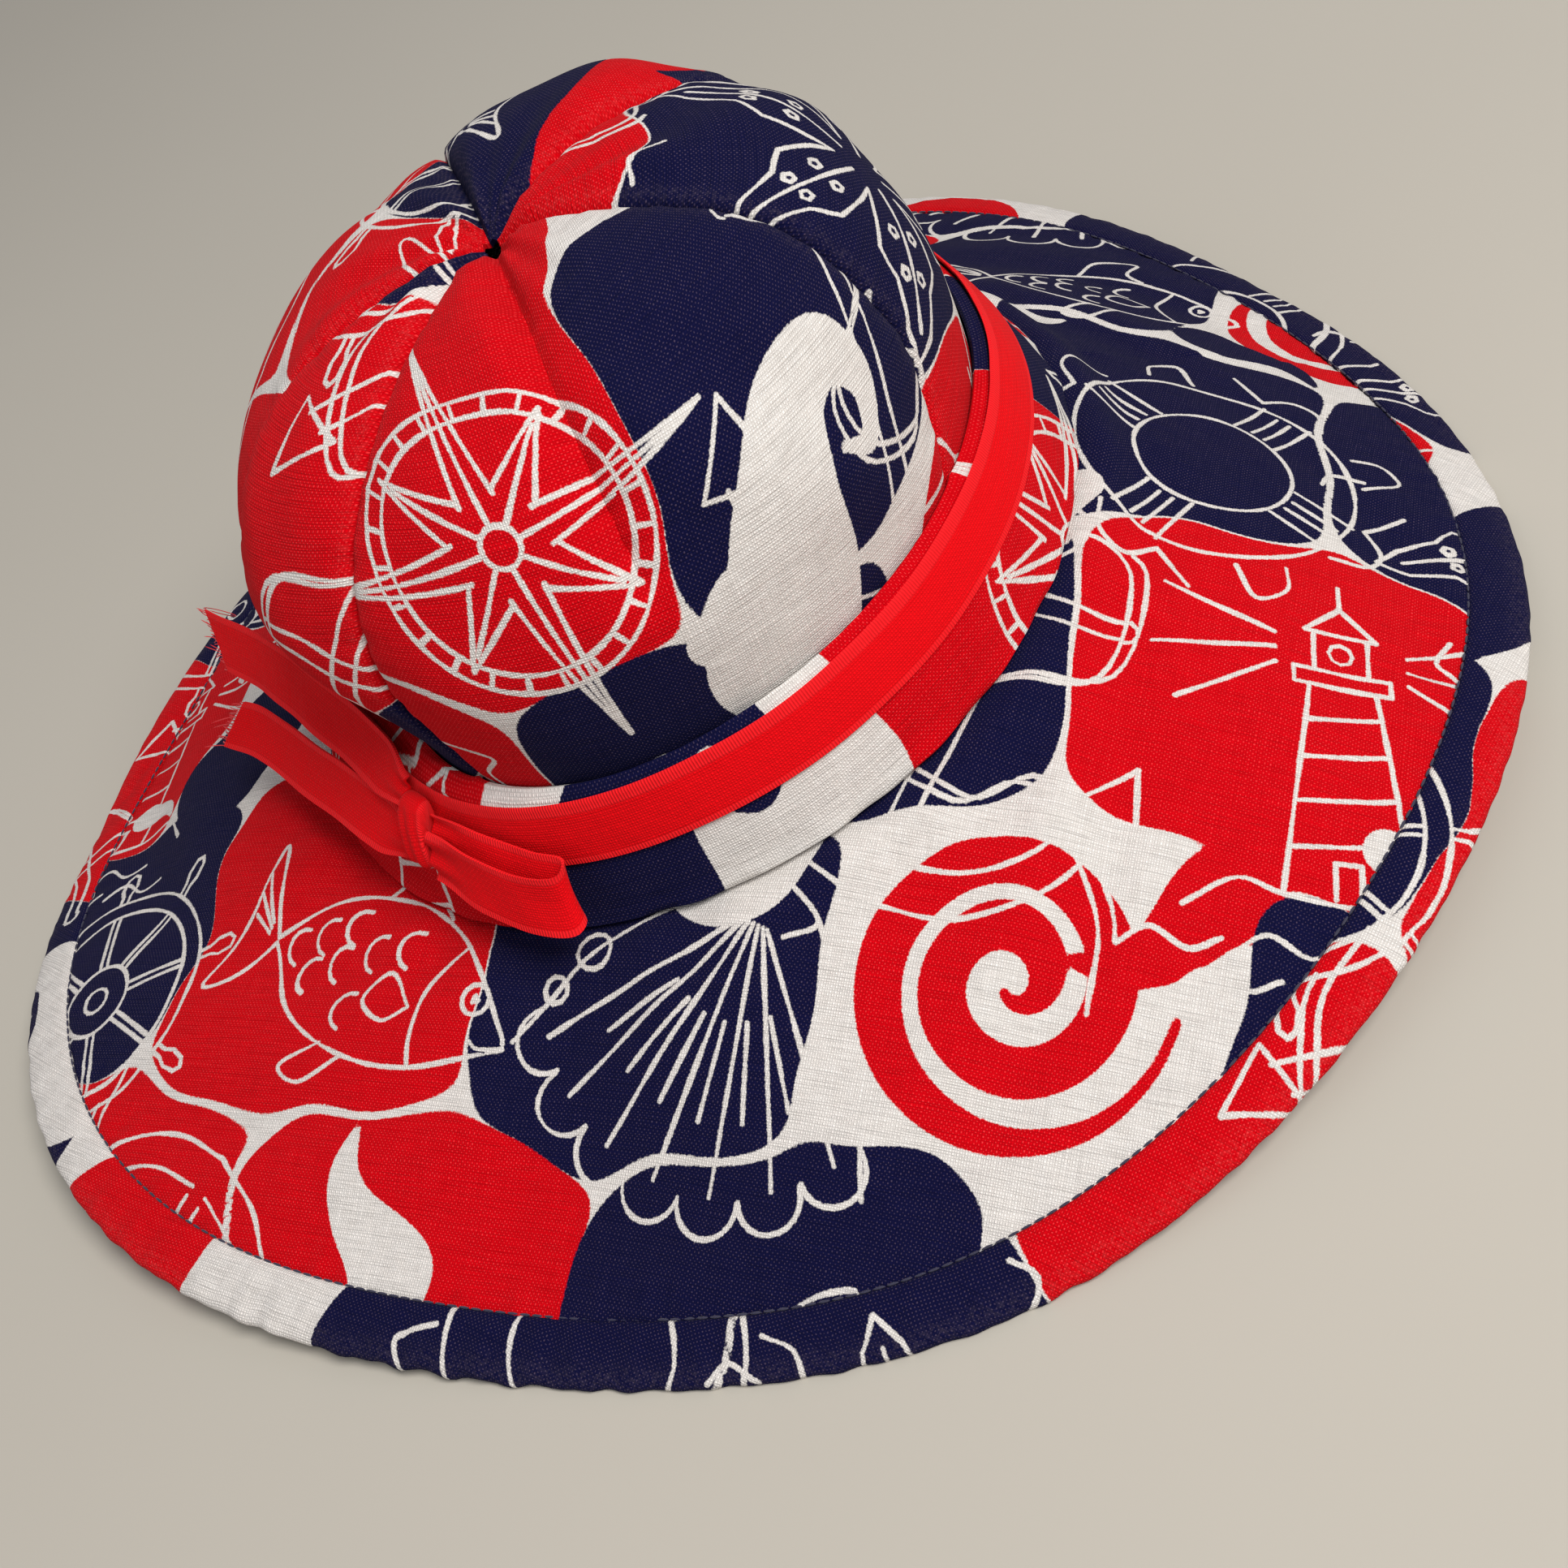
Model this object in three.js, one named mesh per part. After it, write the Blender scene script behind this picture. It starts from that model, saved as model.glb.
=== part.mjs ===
// Wide brim sun hat of printed cotton canvas, in millimetres, +Z up, resting on the edge of its brim.
// The front (wearer's face side) looks to -Y. Crown, side band and tape stand on one tilted foot plane.
import * as THREE from "three";

// Driving sizes
const BRIM_RADIUS = 199;          // mean outer radius of the brim
const FOOT_HEIGHT = 46;           // height of the foot plane over the table, at its centre
const FOOT_TILT = 6.6;            // degrees, the crown leans towards the wearer's right (-X)
const FOOT_SHIFT = 3;             // the foot circle stands this far towards +X on the brim
const CROWN_RADIUS = 89.5;        // widest radius of the crown, between its seams
const CROWN_HEIGHT = 107;         // foot plane to the top of the crown
const CROWN_LEAN = 9.0;           // the top of the crown shifts this far back towards +X
const CROWN_CLOTH = 1.4;          // canvas with its seam allowances
const BAND_FOLD = 17.5;           // the folded lower edge of the side band stands this far out of the foot
const BAND_STAND = 2.0;           // free air between the crown and the band's upper edge
const BAND_HEIGHT = 31.5;
const BAND_CLOTH = 1.5;
const BRIM_CLOTH = 1.8;           // two layers of canvas
const HEM_WIDTH = 14;             // edge strip outside the stitched line
const HEM_CLOTH = 2.6;            // the strip is folded, so it is thicker than the brim
const TAPE_WIDTH = 14;
const TAPE_CLOTH = 1.0;
const KNOT_AZIMUTH = -142.5;      // degrees, where the bow sits on the band
const KNOT_WIDTH = 8.5;
const KNOT_HEIGHT = 14;
const CINCH_AZIMUTH = -165;       // degrees, beside the bow, where the tied tape draws the hat in most
const CINCH_SPAN = 30;            // degrees
const BAND_CINCH = 12;            // how far the band's upper edge is drawn in there
const CROWN_CINCH = 16;           // and the crown behind it
const CINCH_FADE = 42;            // the crown is round again this far above the band
const LEDGE_RISE = 1.5;           // the band's cloth turns in over its upper edge and rises to the crown
const PRESS = 2.2;                // how far the lowest lobes of the soft brim flatten on the table

// Clearances
const GAP = 0.35;                 // between any two neighbouring pieces
const SEAM_LIFT = GAP + 0.05;     // crown and band stand this far over the brim

// Crown from foot to tip: radius and height as shares of the crown's own, puff as a share of the panel's
const CROWN_PROFILE = [
  { at: 0.00, radius: 0.978, height: 0.000, puff: 0.30 },
  { at: 0.12, radius: 0.990, height: 0.150, puff: 0.60 },
  { at: 0.27, radius: 1.000, height: 0.330, puff: 1.00 },
  { at: 0.42, radius: 0.982, height: 0.520, puff: 1.00 },
  { at: 0.57, radius: 0.905, height: 0.710, puff: 1.00 },
  { at: 0.69, radius: 0.780, height: 0.850, puff: 1.00 },
  { at: 0.80, radius: 0.590, height: 0.945, puff: 0.90 },
  { at: 0.90, radius: 0.350, height: 0.990, puff: 0.70 },
  { at: 0.96, radius: 0.160, height: 0.995, puff: 0.30 },
  { at: 1.00, radius: 0.018, height: 0.965, puff: 0.00 },
];

const FOOT_RADIUS = CROWN_RADIUS * CROWN_PROFILE[0].radius;

// Seams of the crown, counter-clockwise: azimuth at the foot and at the shoulder, depth of the valley
const SEAMS = [
  { name: "front_left", foot: -128, shoulder: -138, depth: 3.0 },
  { name: "front_dart", foot: -92, shoulder: -92, depth: 2.6 },
  { name: "front_right", foot: -52, shoulder: -37, depth: 2.2 },
  { name: "right_back", foot: 20, shoulder: 22, depth: 2.0 },
  { name: "back", foot: 92, shoulder: 90, depth: 2.0 },
  { name: "left", foot: 172, shoulder: 180, depth: 2.2 },
];

// Panels of the crown from seam to seam; the front one is wide and has a dart that fades to its foot
const PANELS = [
  { name: "crown_front", from: 0, to: 2, puff: 3.4, colour: 0x1c1c49 },
  { name: "crown_right", from: 2, to: 3, puff: 2.0, colour: 0xe6dad6 },
  { name: "crown_back_right", from: 3, to: 4, puff: 4.5, colour: 0xcb0610 },
  { name: "crown_back_left", from: 4, to: 5, puff: 0.6, colour: 0xe6dad6 },
  { name: "crown_left", from: 5, to: 6, puff: 3.0, colour: 0x1c1c49 },
];
const PUFF_LARGEST = Math.max(...PANELS.map((panel) => panel.puff));
const DART_SEAM = 1;
const DART_END = 0.42;            // share of the way from foot to tip where the dart has faded out

// Outer edge of the brim: waves of the radius and of the height, by their number round the edge
const EDGE_WAVES = [
  { count: 1, radiusCos: -1.1, radiusSin: 0.0, heightCos: 0.6, heightSin: 1.4 },
  { count: 2, radiusCos: 1.1, radiusSin: -0.3, heightCos: -0.8, heightSin: 1.7 },
  { count: 3, radiusCos: -3.6, radiusSin: -1.2, heightCos: -5.1, heightSin: -2.4 },
  { count: 4, radiusCos: 0.9, radiusSin: 0.5, heightCos: -0.8, heightSin: 1.8 },
  { count: 5, radiusCos: -0.6, radiusSin: -1.7, heightCos: -1.3, heightSin: -0.2 },
  { count: 6, radiusCos: -0.2, radiusSin: 0.2, heightCos: 1.0, heightSin: -0.4 },
];
const EDGE_HEIGHT = 6.2;          // mean height of the edge over the table before it is pressed flat

// Fall of the brim from the foot to the edge, both as shares
const BRIM_PROFILE = [
  { at: 0.00, fall: 0.00 },
  { at: 0.15, fall: 0.00 },
  { at: 0.30, fall: 0.15 },
  { at: 0.50, fall: 0.40 },
  { at: 0.75, fall: 0.73 },
  { at: 1.00, fall: 1.00 },
];

// Soft dents (minus) and swells (plus) of the brim: where, how wide, how deep
const BRIM_DENTS = [
  { azimuth: -122, at: 0.55, spanAzimuth: 9, spanAt: 0.30, rise: -4.0 },
  { azimuth: -103, at: 0.55, spanAzimuth: 9, spanAt: 0.30, rise: 2.0 },
  { azimuth: -145, at: 0.60, spanAzimuth: 12, spanAt: 0.30, rise: 1.5 },
  { azimuth: 48, at: 0.60, spanAzimuth: 12, spanAt: 0.25, rise: -3.0 },
  { azimuth: -35, at: 0.60, spanAzimuth: 16, spanAt: 0.30, rise: 1.5 },
];

// Middle lines of the bow's tapes: degrees round the band away from the knot's side, distance off the
// band's face, height as a share of the band's
const LOOP_PATH = [
  { away: 0.0, off: 4.6, height: 0.78 },
  { away: 3.3, off: 4.6, height: 0.77 },
  { away: 8.8, off: 5.2, height: 0.71 },
  { away: 16.8, off: 6.0, height: 0.61 },
  { away: 21.2, off: 7.8, height: 0.57 },
  { away: 20.6, off: 11.0, height: 0.55 },
  { away: 15.2, off: 11.6, height: 0.59 },
  { away: 8.4, off: 9.8, height: 0.67 },
  { away: 2.8, off: 8.3, height: 0.73 },
  { away: 0.0, off: 8.1, height: 0.74 },
];
const TAIL_UPPER_PATH = [
  { away: 0.0, off: 4.6, height: 1.00 },
  { away: 2.6, off: 4.4, height: 1.00 },
  { away: 11.6, off: 3.6, height: 1.03 },
  { away: 29.6, off: 6.4, height: 1.07 },
  { away: 45.2, off: 13.5, height: 1.05 },
  { away: 55.4, off: 29.0, height: 1.02 },
];
const TAIL_LOWER_PATH = [
  { away: 0.0, off: 5.4, height: 0.66 },
  { away: 2.6, off: 5.6, height: 0.66 },
  { away: 16.6, off: 8.4, height: 0.70 },
  { away: 30.0, off: 13.2, height: 0.71 },
  { away: 40.0, off: 20.0, height: 0.73 },
  { away: 44.0, off: 26.8, height: 0.74 },
];
const TAIL_LEAN = 50;             // degrees, the tails lean in over the band
const LOOP_LEAN = 30;
const TAIL_CUT = 11;              // how much longer one corner of a slanting tail end is than the other
const KNOT_PINCH = 0.45;          // share of the tape's width lost where it leaves the knot
const PINCH_RUN = 13;             // the tape is at its full width this far from the knot

const RADIANS = Math.PI / 180;
const EDGE_COUNT = 96;             // facets round the brim and its edge strip

// Smooth curve through a table's rows (shape-keeping cubic), read at the column "at"
function read(table, column, at) {
  const last = table.length - 1;
  if (at <= table[0].at) return table[0][column];
  if (at >= table[last].at) return table[last][column];
  let i = 0;
  while (at > table[i + 1].at) i += 1;
  const chord = (k) => (table[k + 1][column] - table[k][column]) / (table[k + 1].at - table[k].at);
  const slope = (k) => {
    if (k === 0) return chord(0);
    if (k === last) return chord(last - 1);
    const before = chord(k - 1);
    const after = chord(k);
    return before * after <= 0 ? 0 : (2 * before * after) / (before + after);
  };
  const width = table[i + 1].at - table[i].at;
  const t = (at - table[i].at) / width;
  const low = table[i][column];
  const high = table[i + 1][column];
  const rest = 1 - t;
  return low * (1 + 2 * t) * rest * rest + high * t * t * (3 - 2 * t)
    + width * t * rest * (slope(i) * rest - slope(i + 1) * t);
}

function smooth(t) {
  const s = Math.min(1, Math.max(0, t));
  return s * s * (3 - 2 * s);
}

// Closed body between an outer and an inner face, both given over a grid. The outer face's normal is
// the cross product of the i and the j direction. A ring closes on itself in the i direction.
function clothSolid(countI, countJ, outer, inner, ring) {
  const rows = ring ? countI : countI + 1;
  const positions = [];
  const index = [];
  for (const face of [outer, inner]) {
    for (let i = 0; i < rows; i += 1) {
      for (let j = 0; j <= countJ; j += 1) positions.push(...face(i / countI, j / countJ).toArray());
    }
  }
  const layer = rows * (countJ + 1);
  const at = (i, j, side) => (i % rows) * (countJ + 1) + j + side * layer;
  const quad = (a, b, c, d) => index.push(a, b, c, a, c, d);
  for (let i = 0; i < countI; i += 1) {
    for (let j = 0; j < countJ; j += 1) {
      quad(at(i, j, 0), at(i + 1, j, 0), at(i + 1, j + 1, 0), at(i, j + 1, 0));
      quad(at(i, j, 1), at(i, j + 1, 1), at(i + 1, j + 1, 1), at(i + 1, j, 1));
    }
    quad(at(i, 0, 1), at(i + 1, 0, 1), at(i + 1, 0, 0), at(i, 0, 0));
    quad(at(i, countJ, 0), at(i + 1, countJ, 0), at(i + 1, countJ, 1), at(i, countJ, 1));
  }
  if (!ring) {
    for (let j = 0; j < countJ; j += 1) {
      quad(at(0, j, 0), at(0, j + 1, 0), at(0, j + 1, 1), at(0, j, 1));
      quad(at(countI, j, 1), at(countI, j + 1, 1), at(countI, j + 1, 0), at(countI, j, 0));
    }
  }
  return geometryOf(positions, index);
}

// Ring-shaped body from a closed section that goes round the axis
function ringSolid(countI, section) {
  const positions = [];
  const index = [];
  let size = 0;
  for (let i = 0; i < countI; i += 1) {
    const points = section(2 * Math.PI * i / countI);
    size = points.length;
    for (const point of points) positions.push(...point.toArray());
  }
  for (let i = 0; i < countI; i += 1) {
    for (let k = 0; k < size; k += 1) {
      const a = i * size + k;
      const b = i * size + (k + 1) % size;
      const c = ((i + 1) % countI) * size + (k + 1) % size;
      const d = ((i + 1) % countI) * size + k;
      index.push(a, c, b, a, d, c);
    }
  }
  return geometryOf(positions, index);
}

function geometryOf(positions, index) {
  const geometry = new THREE.BufferGeometry();
  geometry.setAttribute("position", new THREE.Float32BufferAttribute(positions, 3));
  geometry.setIndex(index);
  geometry.computeVertexNormals();
  return geometry;
}

function piece(name, geometry, colour, roughness) {
  const material = new THREE.MeshStandardMaterial({ color: colour, roughness, metalness: 0 });
  const mesh = new THREE.Mesh(geometry, material);
  mesh.name = name;
  return mesh;
}

function polar(azimuth, radius, height) {
  return new THREE.Vector3(radius * Math.cos(azimuth), radius * Math.sin(azimuth), height);
}

// The crown leans and puffs out only above the side band, so both grow from the band's upper edge
function leanAt(height) {
  return CROWN_LEAN * (Math.max(0, height) / CROWN_HEIGHT) ** 2.5;
}

function puffAt(height) {
  return smooth((height - BAND_HEIGHT * 0.6) / (BAND_HEIGHT * 1.6));
}

function degreesBetween(azimuth, middle) {
  const turn = azimuth - middle * RADIANS;
  return Math.atan2(Math.sin(turn), Math.cos(turn)) / RADIANS;
}

// Share of the cinch at a place: most beside the bow at the band's upper edge, none at the foot
function cinchAt(azimuth, height) {
  const away = degreesBetween(azimuth, CINCH_AZIMUTH) / CINCH_SPAN;
  const rise = Math.min(1, height / BAND_HEIGHT) * (1 - smooth((height - BAND_HEIGHT) / CINCH_FADE));
  return Math.exp(-away * away) * rise;
}

// Every panel of the crown stays inside this radius
function crownReach(azimuth, height) {
  return CROWN_RADIUS + leanAt(height) + PUFF_LARGEST * puffAt(height)
    - CROWN_CINCH * cinchAt(azimuth, height);
}

const BAND_LOW_RADIUS = FOOT_RADIUS + BAND_FOLD;
const BAND_TOP_RADIUS = CROWN_RADIUS + leanAt(BAND_HEIGHT) + PUFF_LARGEST * puffAt(BAND_HEIGHT)
  + BAND_STAND + BAND_CLOTH;

// Crown: azimuth of a seam at a height share, and the puffed surface between the seams
function seamAzimuth(index, at) {
  const turn = index >= SEAMS.length ? 360 : 0;
  const seam = SEAMS[index % SEAMS.length];
  return (turn + seam.foot + (seam.shoulder - seam.foot) * smooth(at / 0.5)) * RADIANS;
}

function crownBase(azimuth, at, inward, puff) {
  const radius = CROWN_RADIUS * read(CROWN_PROFILE, "radius", at);
  const height = CROWN_HEIGHT * read(CROWN_PROFILE, "height", at);
  const step = 0.004;
  const low = Math.max(0, at - step);
  const high = Math.min(1, at + step);
  const run = CROWN_RADIUS * (read(CROWN_PROFILE, "radius", high) - read(CROWN_PROFILE, "radius", low));
  const rise = CROWN_HEIGHT * (read(CROWN_PROFILE, "height", high) - read(CROWN_PROFILE, "height", low));
  const length = Math.hypot(run, rise);
  const out = puff - inward;
  const r = Math.max(0.4, radius + out * rise / length - CROWN_CINCH * cinchAt(azimuth, height));
  const h = height - out * run / length;
  return polar(azimuth, r, h + SEAM_LIFT).add(new THREE.Vector3(leanAt(height), 0, 0));
}

function crownPuff(panel, share, at) {
  const span = panel.to - panel.from;
  const local = share * span;
  const nearest = Math.round(local);
  const shape = read(CROWN_PROFILE, "puff", at) * puffAt(CROWN_HEIGHT * read(CROWN_PROFILE, "height", at));
  const hill = Math.sqrt(Math.sin(Math.PI * Math.min(1, Math.max(0, share))));
  const dart = span > 1 && nearest === DART_SEAM - panel.from ? smooth((at - DART_END) / 0.25) : 0;
  const valley = dart * SEAMS[DART_SEAM].depth * Math.exp(-(((local - nearest) / 0.13) ** 2));
  const side = SEAMS[(share < 0.5 ? panel.from : panel.to) % SEAMS.length];
  return shape * (panel.puff * hill - side.depth * (1 - hill) * 0.6 - valley);
}

function crownPanel(panel) {
  const span = panel.to - panel.from;
  const countI = 10 + 6 * (span - 1);
  const countJ = 12;
  const face = (inward) => (i, j) => {
    const from = seamAzimuth(panel.from, j);
    const middle = seamAzimuth(panel.from + 1, j);
    const to = seamAzimuth(panel.to, j);
    const radius = (CROWN_RADIUS - CROWN_CINCH) * read(CROWN_PROFILE, "radius", j);
    const margin = Math.min(0.3, GAP / 2 / radius / (to - from));
    const share = margin + i * (1 - 2 * margin);
    const azimuth = span > 1
      ? (share < 0.5 ? from + (middle - from) * 2 * share : middle + (to - middle) * (2 * share - 1))
      : from + (to - from) * share;
    return crownBase(azimuth, j, inward, crownPuff(panel, share, j));
  };
  const geometry = clothSolid(countI, countJ, face(0), face(CROWN_CLOTH), false);
  return piece(panel.name, geometry, panel.colour, 0.9);
}

// Side band: from the crown's seam out to a fold, up to its upper edge and in over a ledge to the crown
function bandOuterRadius(azimuth, height) {
  const share = Math.min(1, height / BAND_HEIGHT);
  return BAND_LOW_RADIUS + (BAND_TOP_RADIUS - BAND_LOW_RADIUS) * share
    - BAND_CINCH * cinchAt(azimuth, share * BAND_HEIGHT);
}

function sideBand() {
  const t = BAND_CLOTH;
  const low = SEAM_LIFT;
  const rise = 4;
  const top = BAND_HEIGHT;
  const section = (azimuth) => {
    const out = (height) => bandOuterRadius(azimuth, height);
    const ledge = crownReach(azimuth, top + LEDGE_RISE) + 2 * GAP;
    return [
      [FOOT_RADIUS + GAP, low],
      [BAND_LOW_RADIUS - 2.5, low],
      [BAND_LOW_RADIUS - 0.6, low + 1.1],
      [out(rise), rise],
      [out(top * 0.4), top * 0.4],
      [out(top * 0.7), top * 0.7],
      [out(top), top],
      [ledge, top + LEDGE_RISE],
      [ledge, top + LEDGE_RISE - t],
      [out(top) - t, top - t],
      [out(top * 0.7) - t, top * 0.7],
      [out(top * 0.4) - t, top * 0.4],
      [out(rise) - t * 1.1, rise + 0.4],
      [BAND_LOW_RADIUS - 3.4, low + t],
      [FOOT_RADIUS + GAP, low + t],
    ].map(([r, h]) => polar(azimuth, r, h));
  };
  return piece("side_band", ringSolid(64, section), 0xdf0c1c, 0.88);
}

// Tape round the top of the band
function ribbonBand() {
  const top = BAND_HEIGHT + 0.3;
  const low = top - TAPE_WIDTH;
  const middle = top - TAPE_WIDTH / 2;
  const section = (azimuth) => {
    const inner = (height) => bandOuterRadius(azimuth, height) + GAP;
    return [
      [inner(low), low],
      [inner(low) + TAPE_CLOTH, low],
      [inner(middle) + TAPE_CLOTH * 1.2, middle],
      [inner(top) + TAPE_CLOTH, top],
      [inner(top), top],
    ].map(([r, h]) => polar(azimuth, r, h));
  };
  return piece("ribbon_band", ringSolid(64, section), 0xe51723, 0.7);
}

// Flat tape that leaves the knot's side (way 1: towards +azimuth), leans in at the top and may end in
// a slanting cut
function tapeSolid(path, way, lean, slant) {
  const side = KNOT_AZIMUTH * RADIANS + way * (KNOT_WIDTH / 2 + 2 * GAP) / BAND_TOP_RADIUS;
  const points = path.map((row) => {
    const azimuth = side + way * row.away * RADIANS;
    const height = row.height * BAND_HEIGHT;
    return polar(azimuth, bandOuterRadius(azimuth, height) + row.off, height);
  });
  const curve = new THREE.CatmullRomCurve3(points, false, "centripetal");
  const length = curve.getLength();
  const returns = path[path.length - 1].away === path[0].away;
  const count = 3 * path.length;
  const face = (layer) => (i, j) => {
    const centre = curve.getPoint(i);
    const forward = curve.getTangent(i);
    const out = new THREE.Vector3(centre.x, centre.y, 0).normalize();
    const up = new THREE.Vector3(0, 0, Math.cos(lean * RADIANS));
    up.addScaledVector(out, -Math.sin(lean * RADIANS));
    up.addScaledVector(forward, -up.dot(forward)).normalize();
    const normal = new THREE.Vector3().crossVectors(forward, up);
    const cut = slant * i * i * (j - 0.5);
    const fromKnot = length * (returns ? Math.min(i, 1 - i) : i);
    const width = TAPE_WIDTH * (1 - KNOT_PINCH * (1 - smooth(fromKnot / PINCH_RUN)));
    return centre.addScaledVector(up, (j - 0.5) * width).addScaledVector(forward, cut)
      .addScaledVector(normal, layer * TAPE_CLOTH / 2);
  };
  return clothSolid(count, 2, face(1), face(-1), false);
}

// Knot: the tape wrapped once round the bow, a rounded pillow on the band
function bowKnot() {
  const middle = KNOT_AZIMUTH * RADIANS;
  const height = BAND_HEIGHT - TAPE_WIDTH / 2 + 1.5;
  const depth = 7;
  const face = (side) => (i, j) => {
    const azimuth = middle + (i - 0.5) * KNOT_WIDTH / BAND_TOP_RADIUS;
    const up = height + (j - 0.5) * KNOT_HEIGHT;
    const back = bandOuterRadius(azimuth, up) + 2 * GAP + TAPE_CLOTH * 1.2;
    const bulge = Math.sqrt((1 - (1.9 * (i - 0.5)) ** 4) * (1 - (1.9 * (j - 0.5)) ** 4));
    return polar(azimuth, back + (side ? 1.5 + (depth - 1) * bulge : 0), up);
  };
  return piece("bow_knot", clothSolid(6, 6, face(1), face(0), false), 0xd8121f, 0.7);
}

// Brim: top face from the foot ring, carried by the tilted foot plane, to the waved edge
const foot = new THREE.Group();
foot.name = "foot";
foot.position.set(FOOT_SHIFT, 0, FOOT_HEIGHT);
foot.rotation.set(0, -FOOT_TILT * RADIANS, 0);
foot.updateMatrixWorld(true);
const BRIM_INSIDE = FOOT_RADIUS - 2.4;

function brimEdge(azimuth) {
  let radius = BRIM_RADIUS;
  let height = EDGE_HEIGHT + HEM_CLOTH;
  for (const wave of EDGE_WAVES) {
    const c = Math.cos(wave.count * azimuth);
    const s = Math.sin(wave.count * azimuth);
    radius += wave.radiusCos * c + wave.radiusSin * s;
    height += wave.heightCos * c + wave.heightSin * s;
  }
  return polar(azimuth, radius, height);
}

function brimTop(azimuth, at) {
  const start = polar(azimuth, BRIM_INSIDE, 0).applyMatrix4(foot.matrixWorld);
  const end = brimEdge(azimuth);
  const fall = read(BRIM_PROFILE, "fall", at);
  const flat = polar(azimuth, BRIM_INSIDE + (BAND_LOW_RADIUS - BRIM_INSIDE) * at / 0.15, 0);
  flat.applyMatrix4(foot.matrixWorld);
  const point = start.clone().lerp(end, at);
  point.z = start.z + (end.z - start.z) * fall;
  const hold = 1 - smooth((at - 0.13) / 0.17);
  point.lerp(flat, at < 0.3 ? hold : 0);
  for (const dent of BRIM_DENTS) {
    const a = degreesBetween(azimuth, dent.azimuth) / dent.spanAzimuth;
    const b = (at - dent.at) / dent.spanAt;
    point.z += dent.rise * Math.exp(-a * a - b * b) * smooth((at - 0.18) / 0.15);
  }
  return point;
}

// The stitched line lies one strip's width inside the edge
function hemStart(azimuth) {
  const a = brimTop(azimuth, 0.8);
  const b = brimTop(azimuth, 1);
  return 1 - 0.2 * HEM_WIDTH / a.distanceTo(b);
}

function brim() {
  const countJ = 7;
  const face = (drop) => (i, j) => {
    const azimuth = -2 * Math.PI * i;
    const end = hemStart(azimuth) - GAP / (BRIM_RADIUS - BRIM_INSIDE);
    const at = j < 0.25 ? j * 0.64 : 0.16 + (j - 0.25) / 0.75 * (end - 0.16);
    const point = brimTop(azimuth, at);
    point.z -= drop;
    return point;
  };
  return piece("brim", clothSolid(EDGE_COUNT, countJ, face(0), face(BRIM_CLOTH), true), 0xdf0c1c, 0.9);
}

function brimHem() {
  const t = HEM_CLOTH;
  const w = HEM_WIDTH;
  const section = (azimuth) => {
    const start = brimTop(azimuth, hemStart(azimuth));
    const end = brimTop(azimuth, 1);
    const out = end.clone().sub(start).normalize();
    const outline = [
      [0, 0],
      [0, -BRIM_CLOTH],
      [w - 8, 0.3 - t],
      [w - 3, 0.3 - t],
      [w - 0.3, 0.7 - t],
      [w - 0.4, -0.4],
      [w - 3, 0.6],
      [2.2, 0.7],
    ];
    return outline.map(([a, b]) => {
      const point = start.clone().addScaledVector(out, a);
      const laid = b < -t / 2 ? 0 : b + t - 0.3;
      point.z = Math.max(point.z + b - PRESS, laid);
      return point;
    });
  };
  return piece("brim_hem", ringSolid(EDGE_COUNT, section), 0xdf0c1c, 0.9);
}

// Assembly
const hat = new THREE.Group();
hat.name = "hat";
hat.add(foot);
for (const panel of PANELS) foot.add(crownPanel(panel));
foot.add(sideBand());
foot.add(ribbonBand());
foot.add(bowKnot());
foot.add(piece("bow_loop", tapeSolid(LOOP_PATH, 1, LOOP_LEAN, 0), 0xe51723, 0.7));
foot.add(piece("bow_tail_upper", tapeSolid(TAIL_UPPER_PATH, -1, TAIL_LEAN, TAIL_CUT), 0xe51723, 0.7));
foot.add(piece("bow_tail_lower", tapeSolid(TAIL_LOWER_PATH, -1, TAIL_LEAN, -TAIL_CUT), 0xe51723, 0.7));
foot.position.z -= PRESS;
const brimMesh = brim();
brimMesh.position.z = -PRESS;
hat.add(brimMesh);
hat.add(brimHem());

// The frame's origin: middle of the whole hat, on the table
hat.updateMatrixWorld(true);
const extent = new THREE.Box3().setFromObject(hat, true);
hat.position.set(-(extent.min.x + extent.max.x) / 2, -(extent.min.y + extent.max.y) / 2, -extent.min.z);

export default hat;
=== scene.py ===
"""Wide brim sun hat of printed cotton canvas with a red tape and bow, dressed over its CAD solids.

The shape repeats the solids' own formulas on a fine grid and adds what cloth does: puffed gores,
puckers, gathers, stitches and frayed tape ends. Lengths are millimetres until a mesh is made.
"""
import math

import bpy
import numpy as np
from mathutils import Matrix, Vector


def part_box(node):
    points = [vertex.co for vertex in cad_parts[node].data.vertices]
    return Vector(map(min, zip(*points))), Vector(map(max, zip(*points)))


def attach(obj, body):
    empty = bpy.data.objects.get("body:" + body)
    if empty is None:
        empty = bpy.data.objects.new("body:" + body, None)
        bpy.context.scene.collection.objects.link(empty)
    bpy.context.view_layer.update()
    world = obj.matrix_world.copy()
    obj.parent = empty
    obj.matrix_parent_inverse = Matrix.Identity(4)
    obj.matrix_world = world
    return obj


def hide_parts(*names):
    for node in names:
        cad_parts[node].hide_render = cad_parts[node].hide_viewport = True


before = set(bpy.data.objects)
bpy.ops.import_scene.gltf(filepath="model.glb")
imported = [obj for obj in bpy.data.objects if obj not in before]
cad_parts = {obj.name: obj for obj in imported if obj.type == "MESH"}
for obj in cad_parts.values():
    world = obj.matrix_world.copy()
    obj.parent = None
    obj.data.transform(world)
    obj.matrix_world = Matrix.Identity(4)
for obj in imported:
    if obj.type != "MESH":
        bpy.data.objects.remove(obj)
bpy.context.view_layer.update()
RADIANS = math.pi / 180


# Camera and light

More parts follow.
